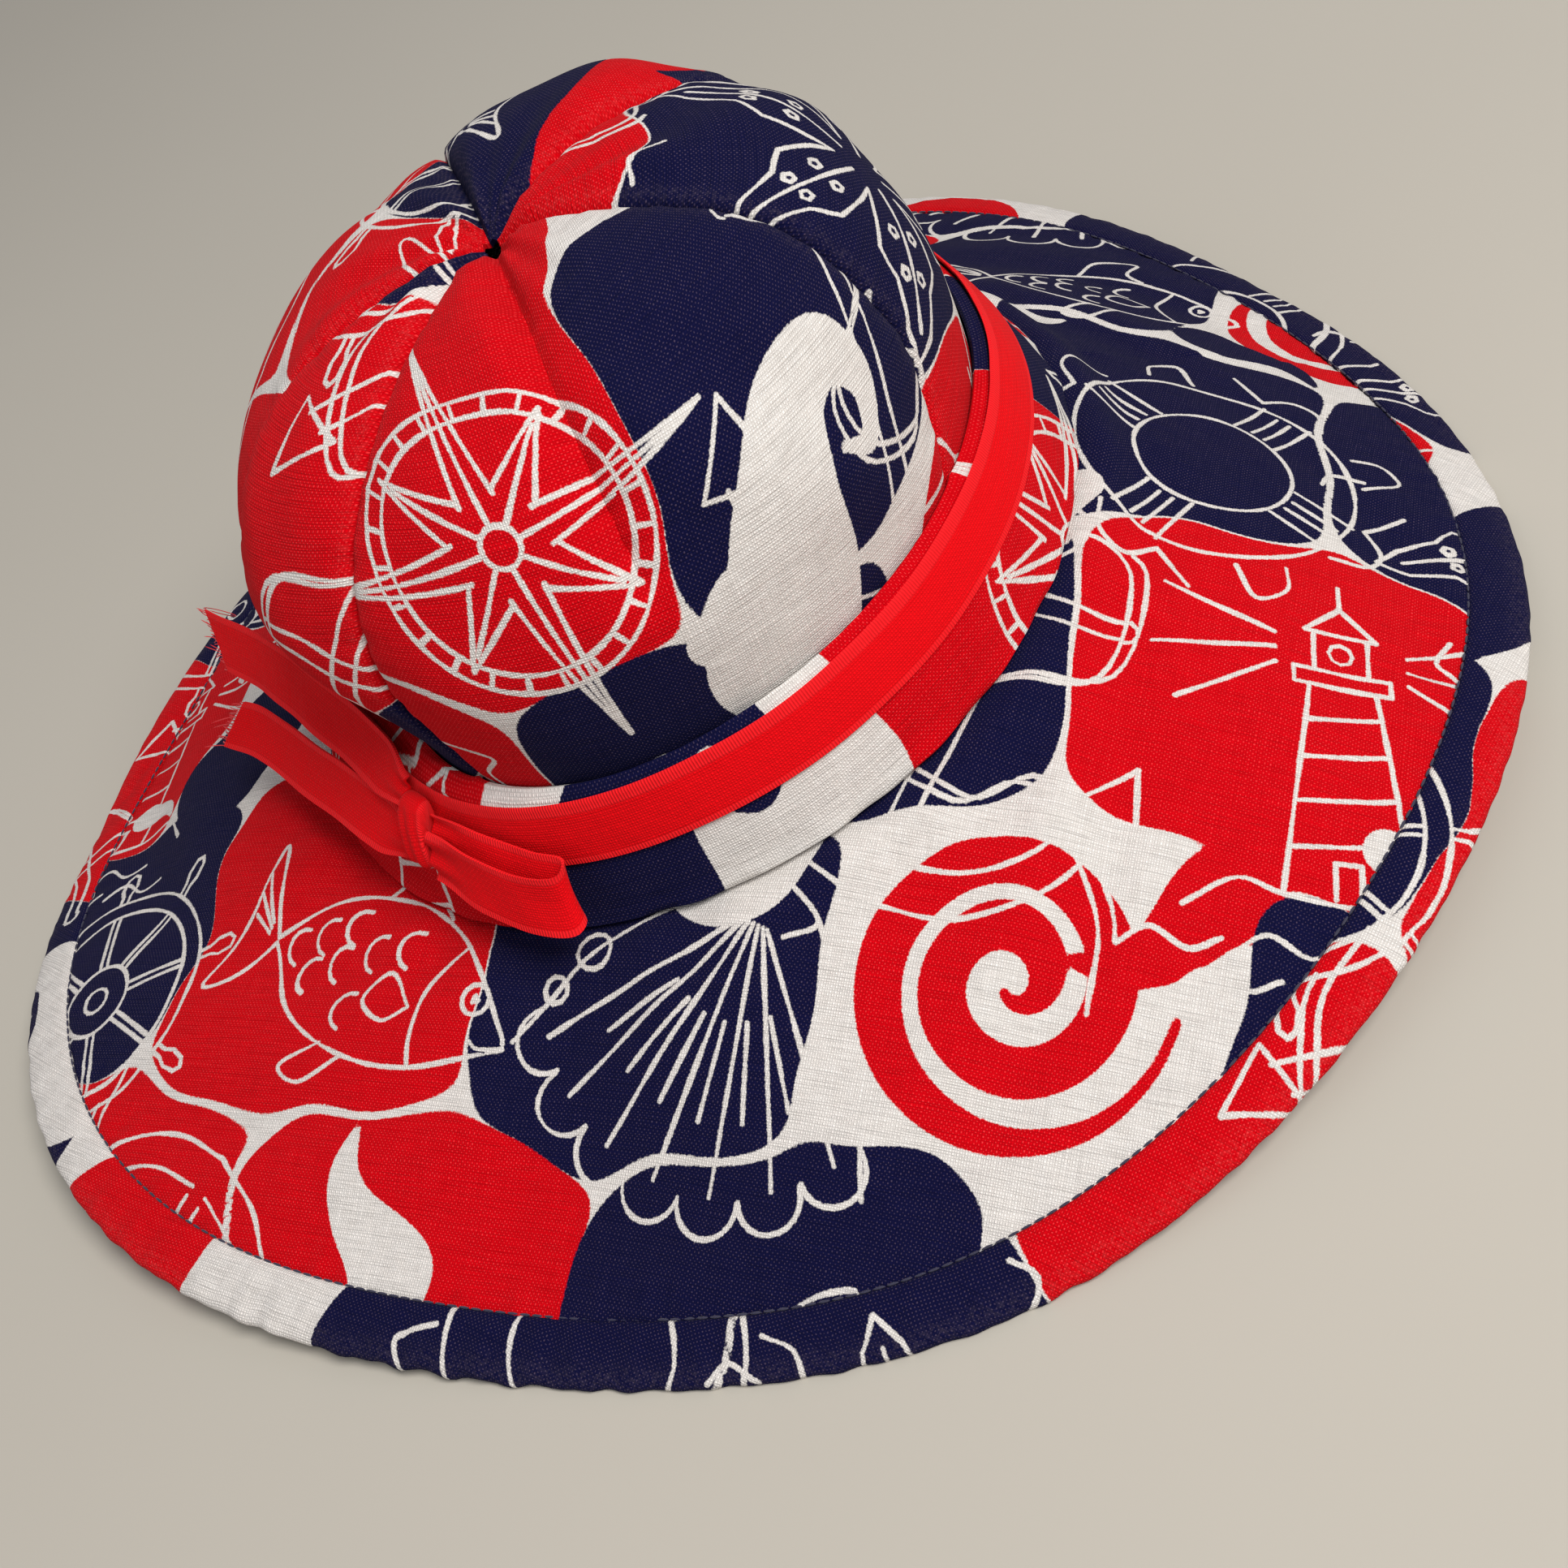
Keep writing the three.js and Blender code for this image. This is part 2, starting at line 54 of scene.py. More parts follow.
# The camera fitted to the photo: turns in radians, target and distance in metres, focal length in pixels
VIEW_RISE, VIEW_ROLL, VIEW_YAW, VIEW_DIP = 0.723, 0.485, -0.003, -0.065
VIEW_TARGET, VIEW_DISTANCE = (0.005327, 0.000507, 0.0066), 0.5002
PHOTO_WIDTH, FOCAL_LENGTH = 1932, 2300
SENSOR_WIDTH = 36
# name, place in metres, size in metres, power in watts, colour
LAMPS = [
    ("window", (0.6, -0.72, 1.4), 0.9, 28, (1.0, 0.985, 0.96)),
    ("fill", (-1.2, -0.5, 0.9), 1.4, 2.5, (0.97, 0.98, 1.0)),
]
LIT_PLACE = Vector((0, 0, 0.05))
ROOM_COLOUR, ROOM_STRENGTH = (0.93, 0.95, 1.0, 1), 0.36


def add_camera():
    """The photo's view: 500 mm from the middle of the hat, 41 degrees up, rolled by 28 degrees."""
    ahead = Vector((0, math.cos(VIEW_RISE), -math.sin(VIEW_RISE)))
    right = Vector((1, 0, 0))
    up = right.cross(ahead)
    sy, cy, sp, cp = math.sin(VIEW_YAW), math.cos(VIEW_YAW), math.sin(VIEW_DIP), math.cos(VIEW_DIP)
    level = cy * right + sy * ahead
    rising = sp * sy * right + cp * up - sp * cy * ahead
    back = -(-cp * sy * right + sp * up + cp * cy * ahead)
    across = math.cos(VIEW_ROLL) * level - math.sin(VIEW_ROLL) * rising
    upward = math.sin(VIEW_ROLL) * level + math.cos(VIEW_ROLL) * rising
    data = bpy.data.cameras.new("view")
    data.sensor_width = SENSOR_WIDTH
    data.lens = SENSOR_WIDTH * FOCAL_LENGTH / PHOTO_WIDTH
    data.clip_start = 0.01
    camera = bpy.data.objects.new("view", data)
    bpy.context.collection.objects.link(camera)
    place = Vector(VIEW_TARGET) - VIEW_DISTANCE * ahead
    camera.matrix_world = Matrix((
        (across.x, upward.x, back.x, place.x),
        (across.y, upward.y, back.y, place.y),
        (across.z, upward.z, back.z, place.z),
        (0, 0, 0, 1),
    ))
    bpy.context.scene.camera = camera


def add_light(name, place, size, power, colour):
    data = bpy.data.lights.new(name, "AREA")
    data.shape = "DISK"
    data.size = size
    data.energy = power
    data.color = colour
    lamp = bpy.data.objects.new(name, data)
    lamp.location = place
    lamp.rotation_euler = (LIT_PLACE - Vector(place)).to_track_quat("-Z", "Y").to_euler()
    bpy.context.collection.objects.link(lamp)


add_camera()
for lamp in LAMPS:
    add_light(*lamp)
world = bpy.data.worlds.new("room")
bpy.context.scene.world = world
world.use_nodes = True
world.node_tree.nodes["Background"].inputs["Color"].default_value = ROOM_COLOUR
world.node_tree.nodes["Background"].inputs["Strength"].default_value = ROOM_STRENGTH
bpy.context.scene.view_settings.view_transform = "Standard"


# Shape of the hat: the same sizes as the solids

FOOT_HEIGHT, FOOT_TILT, FOOT_SHIFT = 46.0, 6.6, 3.0
BRIM_RADIUS, BRIM_CLOTH = 199.0, 1.8
CROWN_RADIUS, CROWN_HEIGHT, CROWN_LEAN, CROWN_CLOTH = 89.5, 107.0, 9.0, 1.4
BAND_FOLD, BAND_STAND, BAND_HEIGHT, BAND_CLOTH = 17.5, 2.0, 31.5, 1.5
HEM_WIDTH, HEM_CLOTH, EDGE_HEIGHT = 14.0, 2.6, 6.2
TAPE_WIDTH, TAPE_CLOTH = 14.0, 1.0
KNOT_AZIMUTH, KNOT_WIDTH, KNOT_HEIGHT = -142.5, 8.5, 14.0
CINCH_AZIMUTH, CINCH_SPAN, CINCH_FADE = -165.0, 30.0, 42.0
BAND_CINCH, CROWN_CINCH, LEDGE_RISE = 12.0, 16.0, 1.5
PRESS, GAP = 2.2, 0.35
SEAM_LIFT = GAP + 0.05

# at, radius, height, puff
CROWN_PROFILE = np.array([
    (0.00, 0.978, 0.000, 0.30), (0.12, 0.990, 0.150, 0.60), (0.27, 1.000, 0.330, 1.00),
    (0.42, 0.982, 0.520, 1.00), (0.57, 0.905, 0.710, 1.00), (0.69, 0.780, 0.850, 1.00),
    (0.80, 0.590, 0.945, 0.90), (0.90, 0.350, 0.990, 0.70), (0.96, 0.160, 0.995, 0.30),
    (1.00, 0.018, 0.965, 0.00),
])
# azimuth at the foot, azimuth at the shoulder, depth
SEAMS = [(-128, -138, 3.0), (-92, -92, 2.6), (-52, -37, 2.2), (20, 22, 2.0), (92, 90, 2.0), (172, 180, 2.2)]
# name, first seam, last seam, puff
PANELS = [
    ("crown_front", 0, 2, 3.4), ("crown_right", 2, 3, 2.0), ("crown_back_right", 3, 4, 4.5),
    ("crown_back_left", 4, 5, 0.6), ("crown_left", 5, 6, 3.0),
]
DART_SEAM, DART_END = 1, 0.42
# count, radius cos, radius sin, height cos, height sin
EDGE_WAVES = [
    (1, -1.1, 0.0, 0.6, 1.4), (2, 1.1, -0.3, -0.8, 1.7), (3, -3.6, -1.2, -5.1, -2.4),
    (4, 0.9, 0.5, -0.8, 1.8), (5, -0.6, -1.7, -1.3, -0.2), (6, -0.2, 0.2, 1.0, -0.4),
]
# The brim lies flat under the band up to this share of its width. Its profile: at, share of the drop
BRIM_FLAT = 0.15
BRIM_PROFILE = np.array([(0, 0), (BRIM_FLAT, 0), (0.30, 0.15), (0.50, 0.40), (0.75, 0.73), (1, 1)], float)
# azimuth, at, span of azimuth, span of at, rise
BRIM_DENTS = [
    (-122, 0.55, 9, 0.30, -4.0), (-103, 0.55, 9, 0.30, 2.0), (-145, 0.60, 12, 0.30, 1.5),
    (48, 0.60, 12, 0.25, -3.0), (-35, 0.60, 16, 0.30, 1.5),
]
# away from the knot's side in degrees, off the band's face, share of the band's height
LOOP_PATH = [
    (0.0, 4.6, 0.78), (3.3, 4.6, 0.77), (8.8, 5.2, 0.71), (16.8, 6.0, 0.61), (21.2, 7.8, 0.57),
    (20.6, 11.0, 0.55), (15.2, 11.6, 0.59), (8.4, 9.8, 0.67), (2.8, 8.3, 0.73), (0.0, 8.1, 0.74),
]
TAIL_UPPER_PATH = [
    (0.0, 4.6, 1.00), (2.6, 4.4, 1.00), (11.6, 3.6, 1.03), (29.6, 6.4, 1.07), (45.2, 13.5, 1.05),
    (55.4, 29.0, 1.02),
]
TAIL_LOWER_PATH = [
    (0.0, 5.4, 0.66), (2.6, 5.6, 0.66), (16.6, 8.4, 0.70), (30.0, 13.2, 0.71), (40.0, 20.0, 0.73),
    (44.0, 26.8, 0.74),
]
TAIL_LEAN, LOOP_LEAN, TAIL_CUT = 50.0, 30.0, 11.0
KNOT_PINCH, PINCH_RUN = 0.45, 13.0


def read(table, column, at):
    """The shape-keeping cubic through a table's rows."""
    x, y = table[:, 0], table[:, column]
    at = np.clip(at, x[0], x[-1])
    chord = np.diff(y) / np.diff(x)
    before, after = chord[:-1], chord[1:]
    both = before * after > 0
    total = np.where(both, before + after, 1)
    slope = np.concatenate([chord[:1], np.where(both, 2 * before * after / total, 0), chord[-1:]])
    i = np.clip(np.searchsorted(x, at) - 1, 0, len(x) - 2)
    width = x[i + 1] - x[i]
    t = (at - x[i]) / width
    rest = 1 - t
    return (y[i] * (1 + 2 * t) * rest * rest + y[i + 1] * t * t * (3 - 2 * t)
            + width * t * rest * (slope[i] * rest - slope[i + 1] * t))


def smooth(t):
    s = np.clip(t, 0, 1)
    return s * s * (3 - 2 * s)


def ripple(phase, *waves):
    """A few sines of one running coordinate, so that no fold repeats exactly."""
    total = 0
    for k, (height, rate) in enumerate(waves):
        total = total + height * np.sin(rate * phase + 2.3 * k + 0.7 * np.sin(0.31 * rate * phase + k))
    return total


def polar(azimuth, radius, height):
    return np.stack(np.broadcast_arrays(radius * np.cos(azimuth), radius * np.sin(azimuth), height), -1)


def run_along(line):
    """The length run at each point of a line."""
    return np.concatenate([[0], np.cumsum(np.linalg.norm(np.diff(line, axis=0), axis=1))])


def points_at(line, along, at):
    """Points of a line at given lengths, from the length run at each of its own points."""
    return np.stack([np.interp(at, along, column) for column in line.T], 1)


FOOT_RADIUS = CROWN_RADIUS * CROWN_PROFILE[0, 1]
tilt = -FOOT_TILT * RADIANS
FOOT_TURN = np.array([
    (math.cos(tilt), 0, math.sin(tilt)), (0, 1, 0), (-math.sin(tilt), 0, math.cos(tilt)),
])


def from_foot(points, lift=0.0):
    return points @ FOOT_TURN.T + np.array([FOOT_SHIFT, 0, FOOT_HEIGHT + lift])


def lean_at(height):
    return CROWN_LEAN * (np.maximum(0, height) / CROWN_HEIGHT) ** 2.5


def puff_at(height):
    return smooth((height - BAND_HEIGHT * 0.6) / (BAND_HEIGHT * 1.6))


def cinch_at(azimuth, height):
    """Share of the cinch: the tied tape draws band and crown in beside the bow."""
    away = ((azimuth / RADIANS - CINCH_AZIMUTH + 180) % 360 - 180) / CINCH_SPAN
    rise = np.clip(height / BAND_HEIGHT, -0.2, 1) * (1 - smooth((height - BAND_HEIGHT) / CINCH_FADE))
    return np.exp(-away * away) * np.maximum(rise, 0)


LEDGE_HEIGHT = BAND_HEIGHT + LEDGE_RISE


def crown_reach(azimuth, height):
    return (CROWN_RADIUS + lean_at(height) + max(p[3] for p in PANELS) * puff_at(height)
            - CROWN_CINCH * cinch_at(azimuth, height))


BAND_LOW_RADIUS = FOOT_RADIUS + BAND_FOLD
BAND_TOP_RADIUS = float(
    CROWN_RADIUS + lean_at(BAND_HEIGHT) + max(p[3] for p in PANELS) * puff_at(BAND_HEIGHT)
    + BAND_STAND + BAND_CLOTH
)


def round_band(height):
    """The band's outer radius where nothing draws it in."""
    return BAND_LOW_RADIUS + (BAND_TOP_RADIUS - BAND_LOW_RADIUS) * np.minimum(1, height / BAND_HEIGHT)


def band_radius(azimuth, height):
    return round_band(height) - BAND_CINCH * cinch_at(azimuth, np.minimum(height, BAND_HEIGHT))


# The print, in the cloth's own mm: a repeat of rounded blocks, bold whirls and waves, and drawn motifs

REPEAT = (360.0, 330.0)
CELL = 0.5
FIELD = (int(REPEAT[0] / CELL), int(REPEAT[1] / CELL))
REACH = 9.0
RED, NAVY, WHITE = 0, 1, 2
fields = np.full((3, *FIELD), REACH)


def window(low, high):
    """The field's cells in a box of the repeat, as wrapped indices and as places."""
    i = np.arange(math.floor(low[0] / CELL), math.ceil(high[0] / CELL) + 1)
    j = np.arange(math.floor(low[1] / CELL), math.ceil(high[1] / CELL) + 1)
    places = np.stack(np.meshgrid(i * CELL, j * CELL, indexing="ij"), -1)
    return np.ix_(i % FIELD[0], j % FIELD[1]), places


def print_stroke(colour, centres, radii):
    """Fills a brush stroke of changing width into one colour's distance field."""
    where, p = window((centres - radii[:, None]).min(0) - REACH, (centres + radii[:, None]).max(0) + REACH)
    best = np.full(p.shape[:2], REACH)
    for c, r in zip(centres, radii):
        best = np.minimum(best, np.hypot(p[..., 0] - c[0], p[..., 1] - c[1]) - r)
    fields[colour][where] = np.minimum(fields[colour][where], best)


def turned(points, x, y, turn, size=1.0, mirror=False):
    p = np.array(points, float) * size
    if mirror:
        p[:, 0] *= -1
    c, s = math.cos(turn * RADIANS), math.sin(turn * RADIANS)
    return p @ np.array([(c, s), (-s, c)]) + (x, y)


def whirl(turns, start, end, thin, thick):
    """A whirlpool: a spiral of a few close turns that thins to a point at both ends."""
    t = np.linspace(0, 1, 340)
    angle = 2 * math.pi * turns * t
    r = start + (end - start) * t
    centres = np.stack([r * np.cos(angle), r * np.sin(angle)], 1)
    return centres, thin + (thick - thin) * smooth(t / 0.25) * smooth((1 - t) / 0.2)


def crest(*radii):
    """A breaking wave that rises from a broad foot and thins to its tip."""
    line = bent((-34, -26), (-24, -14), (-15, 4), (0, 20), (17, 20), (24, 6), (16, -5), (7, 1))
    return line, np.interp(np.linspace(0, 1, len(line)), np.linspace(0, 1, len(radii)), radii)


def drop():
    t = np.linspace(0, 1, 36)
    centres = np.stack([44 * t ** 1.2, 12 * np.sin(2.3 * t) ** 2], 1)
    return centres, 12.5 * (1 - t) ** 0.8 + 0.9


# Middle and reach of each patch of colour, its colour, the motif drawn over it, that one's turn and size
PATCHES = [
    (38, 38, 4, NAVY, "wheel", 12, 1.18), (132, 46, 6, RED, "fish", -16, 1.38),
    (226, 36, 0, NAVY, "shell", 166, 1.5), (312, 46, 3, WHITE, "", 0, 1),
    (352, 124, 6, RED, "lighthouse", 8, 1.36), (84, 128, 2, WHITE, "", 0, 1),
    (178, 124, 4, RED, "compass", 10, 1.2), (268, 118, 2, NAVY, "anchor", -14, 1.5),
    (36, 208, 3, NAVY, "seastar", -10, 1.35), (128, 212, 0, NAVY, "", 0, 1),
    (222, 204, 2, WHITE, "", 0, 1), (312, 206, 7, NAVY, "buoy", 20, 1.22),
    (350, 288, 0, WHITE, "", 0, 1), (84, 290, 5, RED, "anchor", 152, 1.35),
    (176, 284, 3, RED, "", 0, 1), (266, 292, 4, NAVY, "fish", 12, 1.22),
]
# colour, shape, x, y, turn, size, mirror
BOLD_SHAPES = [
    (RED, "whirl", 308, 46, 250, 0.98, False), (RED, "drop", 350, 74, 205, 0.85, False),
    (NAVY, "crest", 88, 132, 8, 0.95, False), (RED, "drop", 118, 98, 150, 0.8, True),
    (RED, "crest", 226, 204, 14, 0.98, False), (NAVY, "drop", 190, 224, 60, 0.8, False),
    (RED, "whirl", 352, 290, 40, 0.9, True), (NAVY, "drop", 318, 262, -30, 0.75, False),
    (WHITE, "crest", 130, 214, 20, 0.72, True), (WHITE, "drop", 176, 296, 110, 0.8, False),
    (WHITE, "drop", 160, 268, 70, 0.62, True), (WHITE, "drop", 226, 78, 25, 0.42, False),
    (WHITE, "crest", 262, 92, 12, 0.78, False), (WHITE, "drop", 300, 166, 100, 0.4, True),
    (WHITE, "drop", 20, 92, -20, 0.4, False),
    (WHITE, "drop", 112, 252, -50, 0.38, False), (WHITE, "drop", 262, 246, 200, 0.42, True),
]
CORNER = 2.3
BOXINESS = 6.0


def lay_patches():
    """Patches of colour grow from their middles until they meet; like colours keep a white channel."""
    x, y = np.meshgrid(np.arange(FIELD[0]) * CELL, np.arange(FIELD[1]) * CELL, indexing="ij")
    a, b = 2 * math.pi * x / REPEAT[0], 2 * math.pi * y / REPEAT[1]
    px = x + 3.0 * np.sin(3 * b + a + 1.0) + 1.1 * np.sin(6 * b - 4 * a) + 0.6 * np.sin(11 * b + 5 * a)
    py = y + 3.0 * np.sin(3 * a - b + 2.0) + 1.1 * np.sin(7 * a + 3 * b) + 0.6 * np.sin(12 * a - 6 * b)
    reach = []
    for cx, cy, grow, *_ in PATCHES:
        dx = np.abs((px - cx + REPEAT[0] / 2) % REPEAT[0] - REPEAT[0] / 2)
        dy = np.abs((py - cy + REPEAT[1] / 2) % REPEAT[1] - REPEAT[1] / 2)
        reach.append((dx ** BOXINESS + dy ** BOXINESS) ** (1 / BOXINESS) - grow)
    for k, (_, _, _, colour, *_) in enumerate(PATCHES):
        if colour == WHITE:
            continue
        total = 0
        for j, (_, _, _, other, *_) in enumerate(PATCHES):
            if j != k:
                channel = 1.0 if other == colour else (-0.7, -0.2, 0.7)[(3 * k + 5 * j) % 3]
                total = total + np.exp(np.clip((reach[k] - reach[j]) / 2 + channel, -60, 60) / CORNER)
        fields[colour] = np.minimum(fields[colour], CORNER * np.log(total + 1e-9))


def arc(x, y, r, a, b, squash=1.0):
    n = max(4, int(abs(b - a) * RADIANS * r / 1.6) + 2)
    t = np.linspace(a, b, n) * RADIANS
    return np.stack([x + r * np.cos(t), y + r * squash * np.sin(t)], 1)


def bent(*points):
    """A smooth line through a few points."""
    p = np.array(points, float)
    q = np.vstack([2 * p[0] - p[1], p, 2 * p[-1] - p[-2]])
    t = np.linspace(0, 1, 7)[:-1, None]
    parts = [
        0.5 * (2 * b + (c - a) * t + (2 * a - 5 * b + 4 * c - d) * t ** 2 + (3 * b - 3 * c + d - a) * t ** 3)
        for a, b, c, d in zip(q, q[1:], q[2:], q[3:])
    ]
    return np.vstack([*parts, p[-1:]])


def both_sides(lines):
    return lines + [line * (-1, 1) for line in lines]


def anchor_lines():
    half = both_sides([
        np.array([(2.2, 27), (2.0, -24)], float),
        bent((0, 21), (9, 20.5), (17, 23)),
        bent((0, 17), (9, 17), (17, 20)),
        arc(17.4, 21.5, 1.8, -80, 90),
        bent((0, -33), (13, -30), (23, -22), (29, -9)),
        bent((2, -26), (12, -23.5), (19, -18), (24, -9)),
        np.array([(20.5, -9.5), (32.5, -9.5), (28, 1.5), (20.5, -9.5)], float),
    ])
    rope = bent(
        (3, 33), (14, 31), (17, 12), (3, 4), (-9, -4), (-6, -13), (6, -15), (15, -8), (31, -20), (36, -34),
    )
    return half + [arc(0, 32, 5.2, 0, 360), arc(0, 32, 2.9, 0, 360), rope, rope[4:-4] + (1.8, 1.6)]


def wheel_lines():
    lines = [arc(0, 0, r, 0, 360) for r in (29, 24.5, 9, 3.2)]
    spoke = [
        (9, -1), (24.5, -0.9), (29, -1), (32, -1), (34.5, -2), (38, -1.6), (39.3, 0), (38, 1.6), (34.5, 2),
        (32, 1), (29, 1), (24.5, 0.9), (9, 1),
    ]
    for k in range(8):
        for part in (spoke[:2], spoke[2:11], spoke[11:]):
            lines.append(turned(part, 0, 0, 45 * k + 11))
    return lines


def compass_lines():
    lines = [arc(0, 0, 25, 0, 360), arc(0, 0, 21.5, 0, 360), arc(0, 0, 3.4, 0, 360)]
    for k in range(8):
        tip, hip = (39, 8.5) if k % 2 == 0 else (23, 9.5)
        lines.append(turned([(hip * 0.92, hip * 0.38), (tip, 0), (hip * 0.92, -hip * 0.38)], 0, 0, 45 * k))
        lines.append(turned([(4, 0), (tip - 3, 0)], 0, 0, 45 * k))
    for k in range(24):
        lines.append(turned([(21.5, 0), (25, 0)], 0, 0, 15 * k + 7.5))
    return lines


def fish_lines():
    lines = [
        bent((-26, 0), (-14, 11), (2, 15), (18, 11), (31, 1), (33, -2)),
        bent((-26, -1), (-14, -11), (2, -14), (18, -11), (33, -2)),
        bent((-26, 0), (-33, 11), (-38, 16), (-35, 3), (-38, -13), (-32, -10), (-26, -1)),
        bent((18, 11), (14, 3), (15, -5), (18, -11)),
        bent((-6, 14), (-2, 22), (8, 24), (6, 18), (10, 14.5)),
        bent((-2, -13.5), (-8, -20), (-2, -21), (4, -14)),
        arc(24.5, 3.5, 2.6, 0, 360), arc(24.5, 3.5, 0.6, 0, 360),
        bent((33, -2), (29, -3.5), (27, -3)),
        bent((12, -2), (5, 2), (2, -4), (8, -6), (12, -2)),
    ]
    scales = ((7, 7), (0, 4), (-7, 7), (-7, 0), (0, -7), (-13, 3.5), (-13, -4), (-19, 0))
    bubbles = ((38, 10, 2.2), (42, 18, 3), (36, 25, 1.8))
    lines += [arc(x, y, 3.4, 90, 270) for x, y in scales]
    lines += [arc(x, y, r, 0, 360) for x, y, r in bubbles]
    lines += [np.array([(-36 + k, 10 - 4 * k), (-29, 2 - k)], float) for k in range(3)]
    return lines


def lighthouse_lines():
    lines = both_sides([
        np.array([(10, -24), (5.5, 14)], float),
        np.array([(0, 14), (8, 14), (8, 17), (0, 17)], float),
        np.array([(4.5, 17), (4.5, 25)], float),
        np.array([(0, 31), (6, 25), (0, 25)], float),
        np.array([(11, 23), (29, 30)], float), np.array([(11, 20), (31, 18)], float),
        np.array([(11, 17), (27, 8)], float),
    ])
    lines += [np.array([(-x, y), (x, y + 2)], float) for x, y in ((6.2, 7), (7.0, 0), (7.9, -8), (8.8, -16))]
    lines += [np.array([(0, 31), (0, 36)], float), arc(0, 21, 2, 0, 360)]
    lines.append(np.array([(-2, -24), (-2, -18), (2, -18), (2, -24)], float))
    lines.append(bent((-25, -27), (-17, -22), (-10, -24), (0, -25), (10, -24), (19, -21), (27, -28)))
    for x, y in ((-27, -34), (-9, -34), (9, -34), (-18, -40), (0, -40), (18, -40)):
        lines.append(bent((x - 8, y), (x - 3, y + 3), (x + 3, y), (x + 8, y + 2)))
    return lines


def shell_lines():
    lines = [
        bent((0, -26), (-9, -22), (-5, -18)), bent((0, -26), (9, -22), (5, -18)),
        bent((-9, -22), (-22, -8), (-31, 10)),
    ]
    lines.append(lines[-1] * (-1, 1))
    for k in range(-3, 4):
        a = (90 + 17 * k) * RADIANS
        b = (90 + 17 * (k + 0.5)) * RADIANS
        lines.append(np.array([(3 * math.cos(a), -18), (33 * math.cos(a), -14 + 34 * math.sin(a))]))
        lines.append(arc(33 * math.cos(a), -14 + 35 * math.sin(a), 4.9, 17 * k - 5, 17 * k + 185))
        if k < 3:
            root = (12 * math.cos(b), -16 + 12 * math.sin(b))
            tip = (24 * math.cos(b), -15 + 25 * math.sin(b))
            lines.append(np.array([root, tip]))
    return lines


def buoy_lines():
    lines = [arc(0, 0, 29, 0, 360), arc(0, 0, 16, 0, 360)]
    for k in range(4):
        a = 90 * k + 45
        lines += [turned([(16, -5), (29, -5.5)], 0, 0, a), turned([(16, 5), (29, 5.5)], 0, 0, a)]
        lines += [turned([(17.5, -1.5), (27.5, -1.5)], 0, 0, a), turned([(17.5, 1.5), (27.5, 1.5)], 0, 0, a)]
        lines.append(turned(bent((31, -7), (37, -3), (37, 3), (31, 7)), 0, 0, a))
        lines.append(turned(bent((31, 7), (34, 15), (36, 22), (31, 7)), 0, 0, a)[:8])
        lines.append(turned(bent((24, 20), (28, 27), (22, 30), (17, 27)), 0, 0, a))
    return lines


def seastar_lines():
    t = np.linspace(0, 360, 61)
    r = 21 + 14 * np.cos(5 * t * RADIANS) ** 3
    lines = [np.stack([r * np.cos(t * RADIANS), r * np.sin(t * RADIANS)], 1)]
    for k in range(5):
        lines.append(turned([(5, 0), (30, 0)], 0, 0, 72 * k))
        for x, turn in ((14, 11), (14, -11), (21, 6), (21, -6)):
            lines.append(turned(arc(x, 0, 1.1, 0, 360), 0, 0, 72 * k + turn))
        lines.append(turned(bent((30, 20), (34, 24), (32, 28)), 0, 0, 72 * k))
    return lines


MOTIFS = {
    "anchor": anchor_lines, "wheel": wheel_lines, "compass": compass_lines, "fish": fish_lines,
    "lighthouse": lighthouse_lines, "shell": shell_lines, "buoy": buoy_lines, "seastar": seastar_lines,
}
LINE_HALF = 0.56
DRAWN_ASIDE = (17.0, -13.0)


def lay_out_print():
    """Fills the three distance fields and returns the line drawings as segments: ends and half width."""
    segments = []
    lay_patches()
    for x, y, _, _, motif, turn, size in PATCHES:
        for line in MOTIFS[motif]() if motif else []:
            p = turned(line, x + DRAWN_ASIDE[0], y + DRAWN_ASIDE[1], turn, size)
            segments.append(np.hstack([p[:-1], p[1:], np.full((len(p) - 1, 1), LINE_HALF)]))
    shapes = {
        "whirl": whirl(2.3, 3, 36, 1.2, 5.4), "crest": crest(24, 21, 16, 12, 8, 5, 3, 1.5), "drop": drop(),
    }
    for colour, shape, x, y, turn, size, mirror in BOLD_SHAPES:
        centres, radii = shapes[shape]
        print_stroke(colour, turned(centres, x, y, turn, size, mirror), radii * size)
    return np.vstack(segments)


segments = lay_out_print()
# Drawn lines kept for each small square of the repeat, the square's side, and lines kept for each face
NEAREST, CHOICE, LINES_PER_FACE = 14, 2.5, 3


def segment_distance(p, s):
    """From points (..., 2) to segments (..., 5), less the half width."""
    d = s[..., 2:4] - s[..., 0:2]
    t = np.clip(((p - s[..., 0:2]) * d).sum(-1) / np.maximum((d * d).sum(-1), 1e-9), 0, 1)
    return np.sqrt(((p - s[..., 0:2] - t[..., None] * d) ** 2).sum(-1)) - s[..., 4]


def copies_of(segments):
    """The segments with those of the neighbouring repeats that reach into this one."""
    out = []
    for i in (-1, 0, 1):
        for j in (-1, 0, 1):
            shift = np.array([i * REPEAT[0], j * REPEAT[1]] * 2 + [0])
            moved = segments + shift
            low, high = moved[:, :4].reshape(-1, 2, 2).min(1), moved[:, :4].reshape(-1, 2, 2).max(1)
            out.append(moved[((high > -10) & (low < np.array(REPEAT) + 10)).all(1)])
    return np.vstack(out)


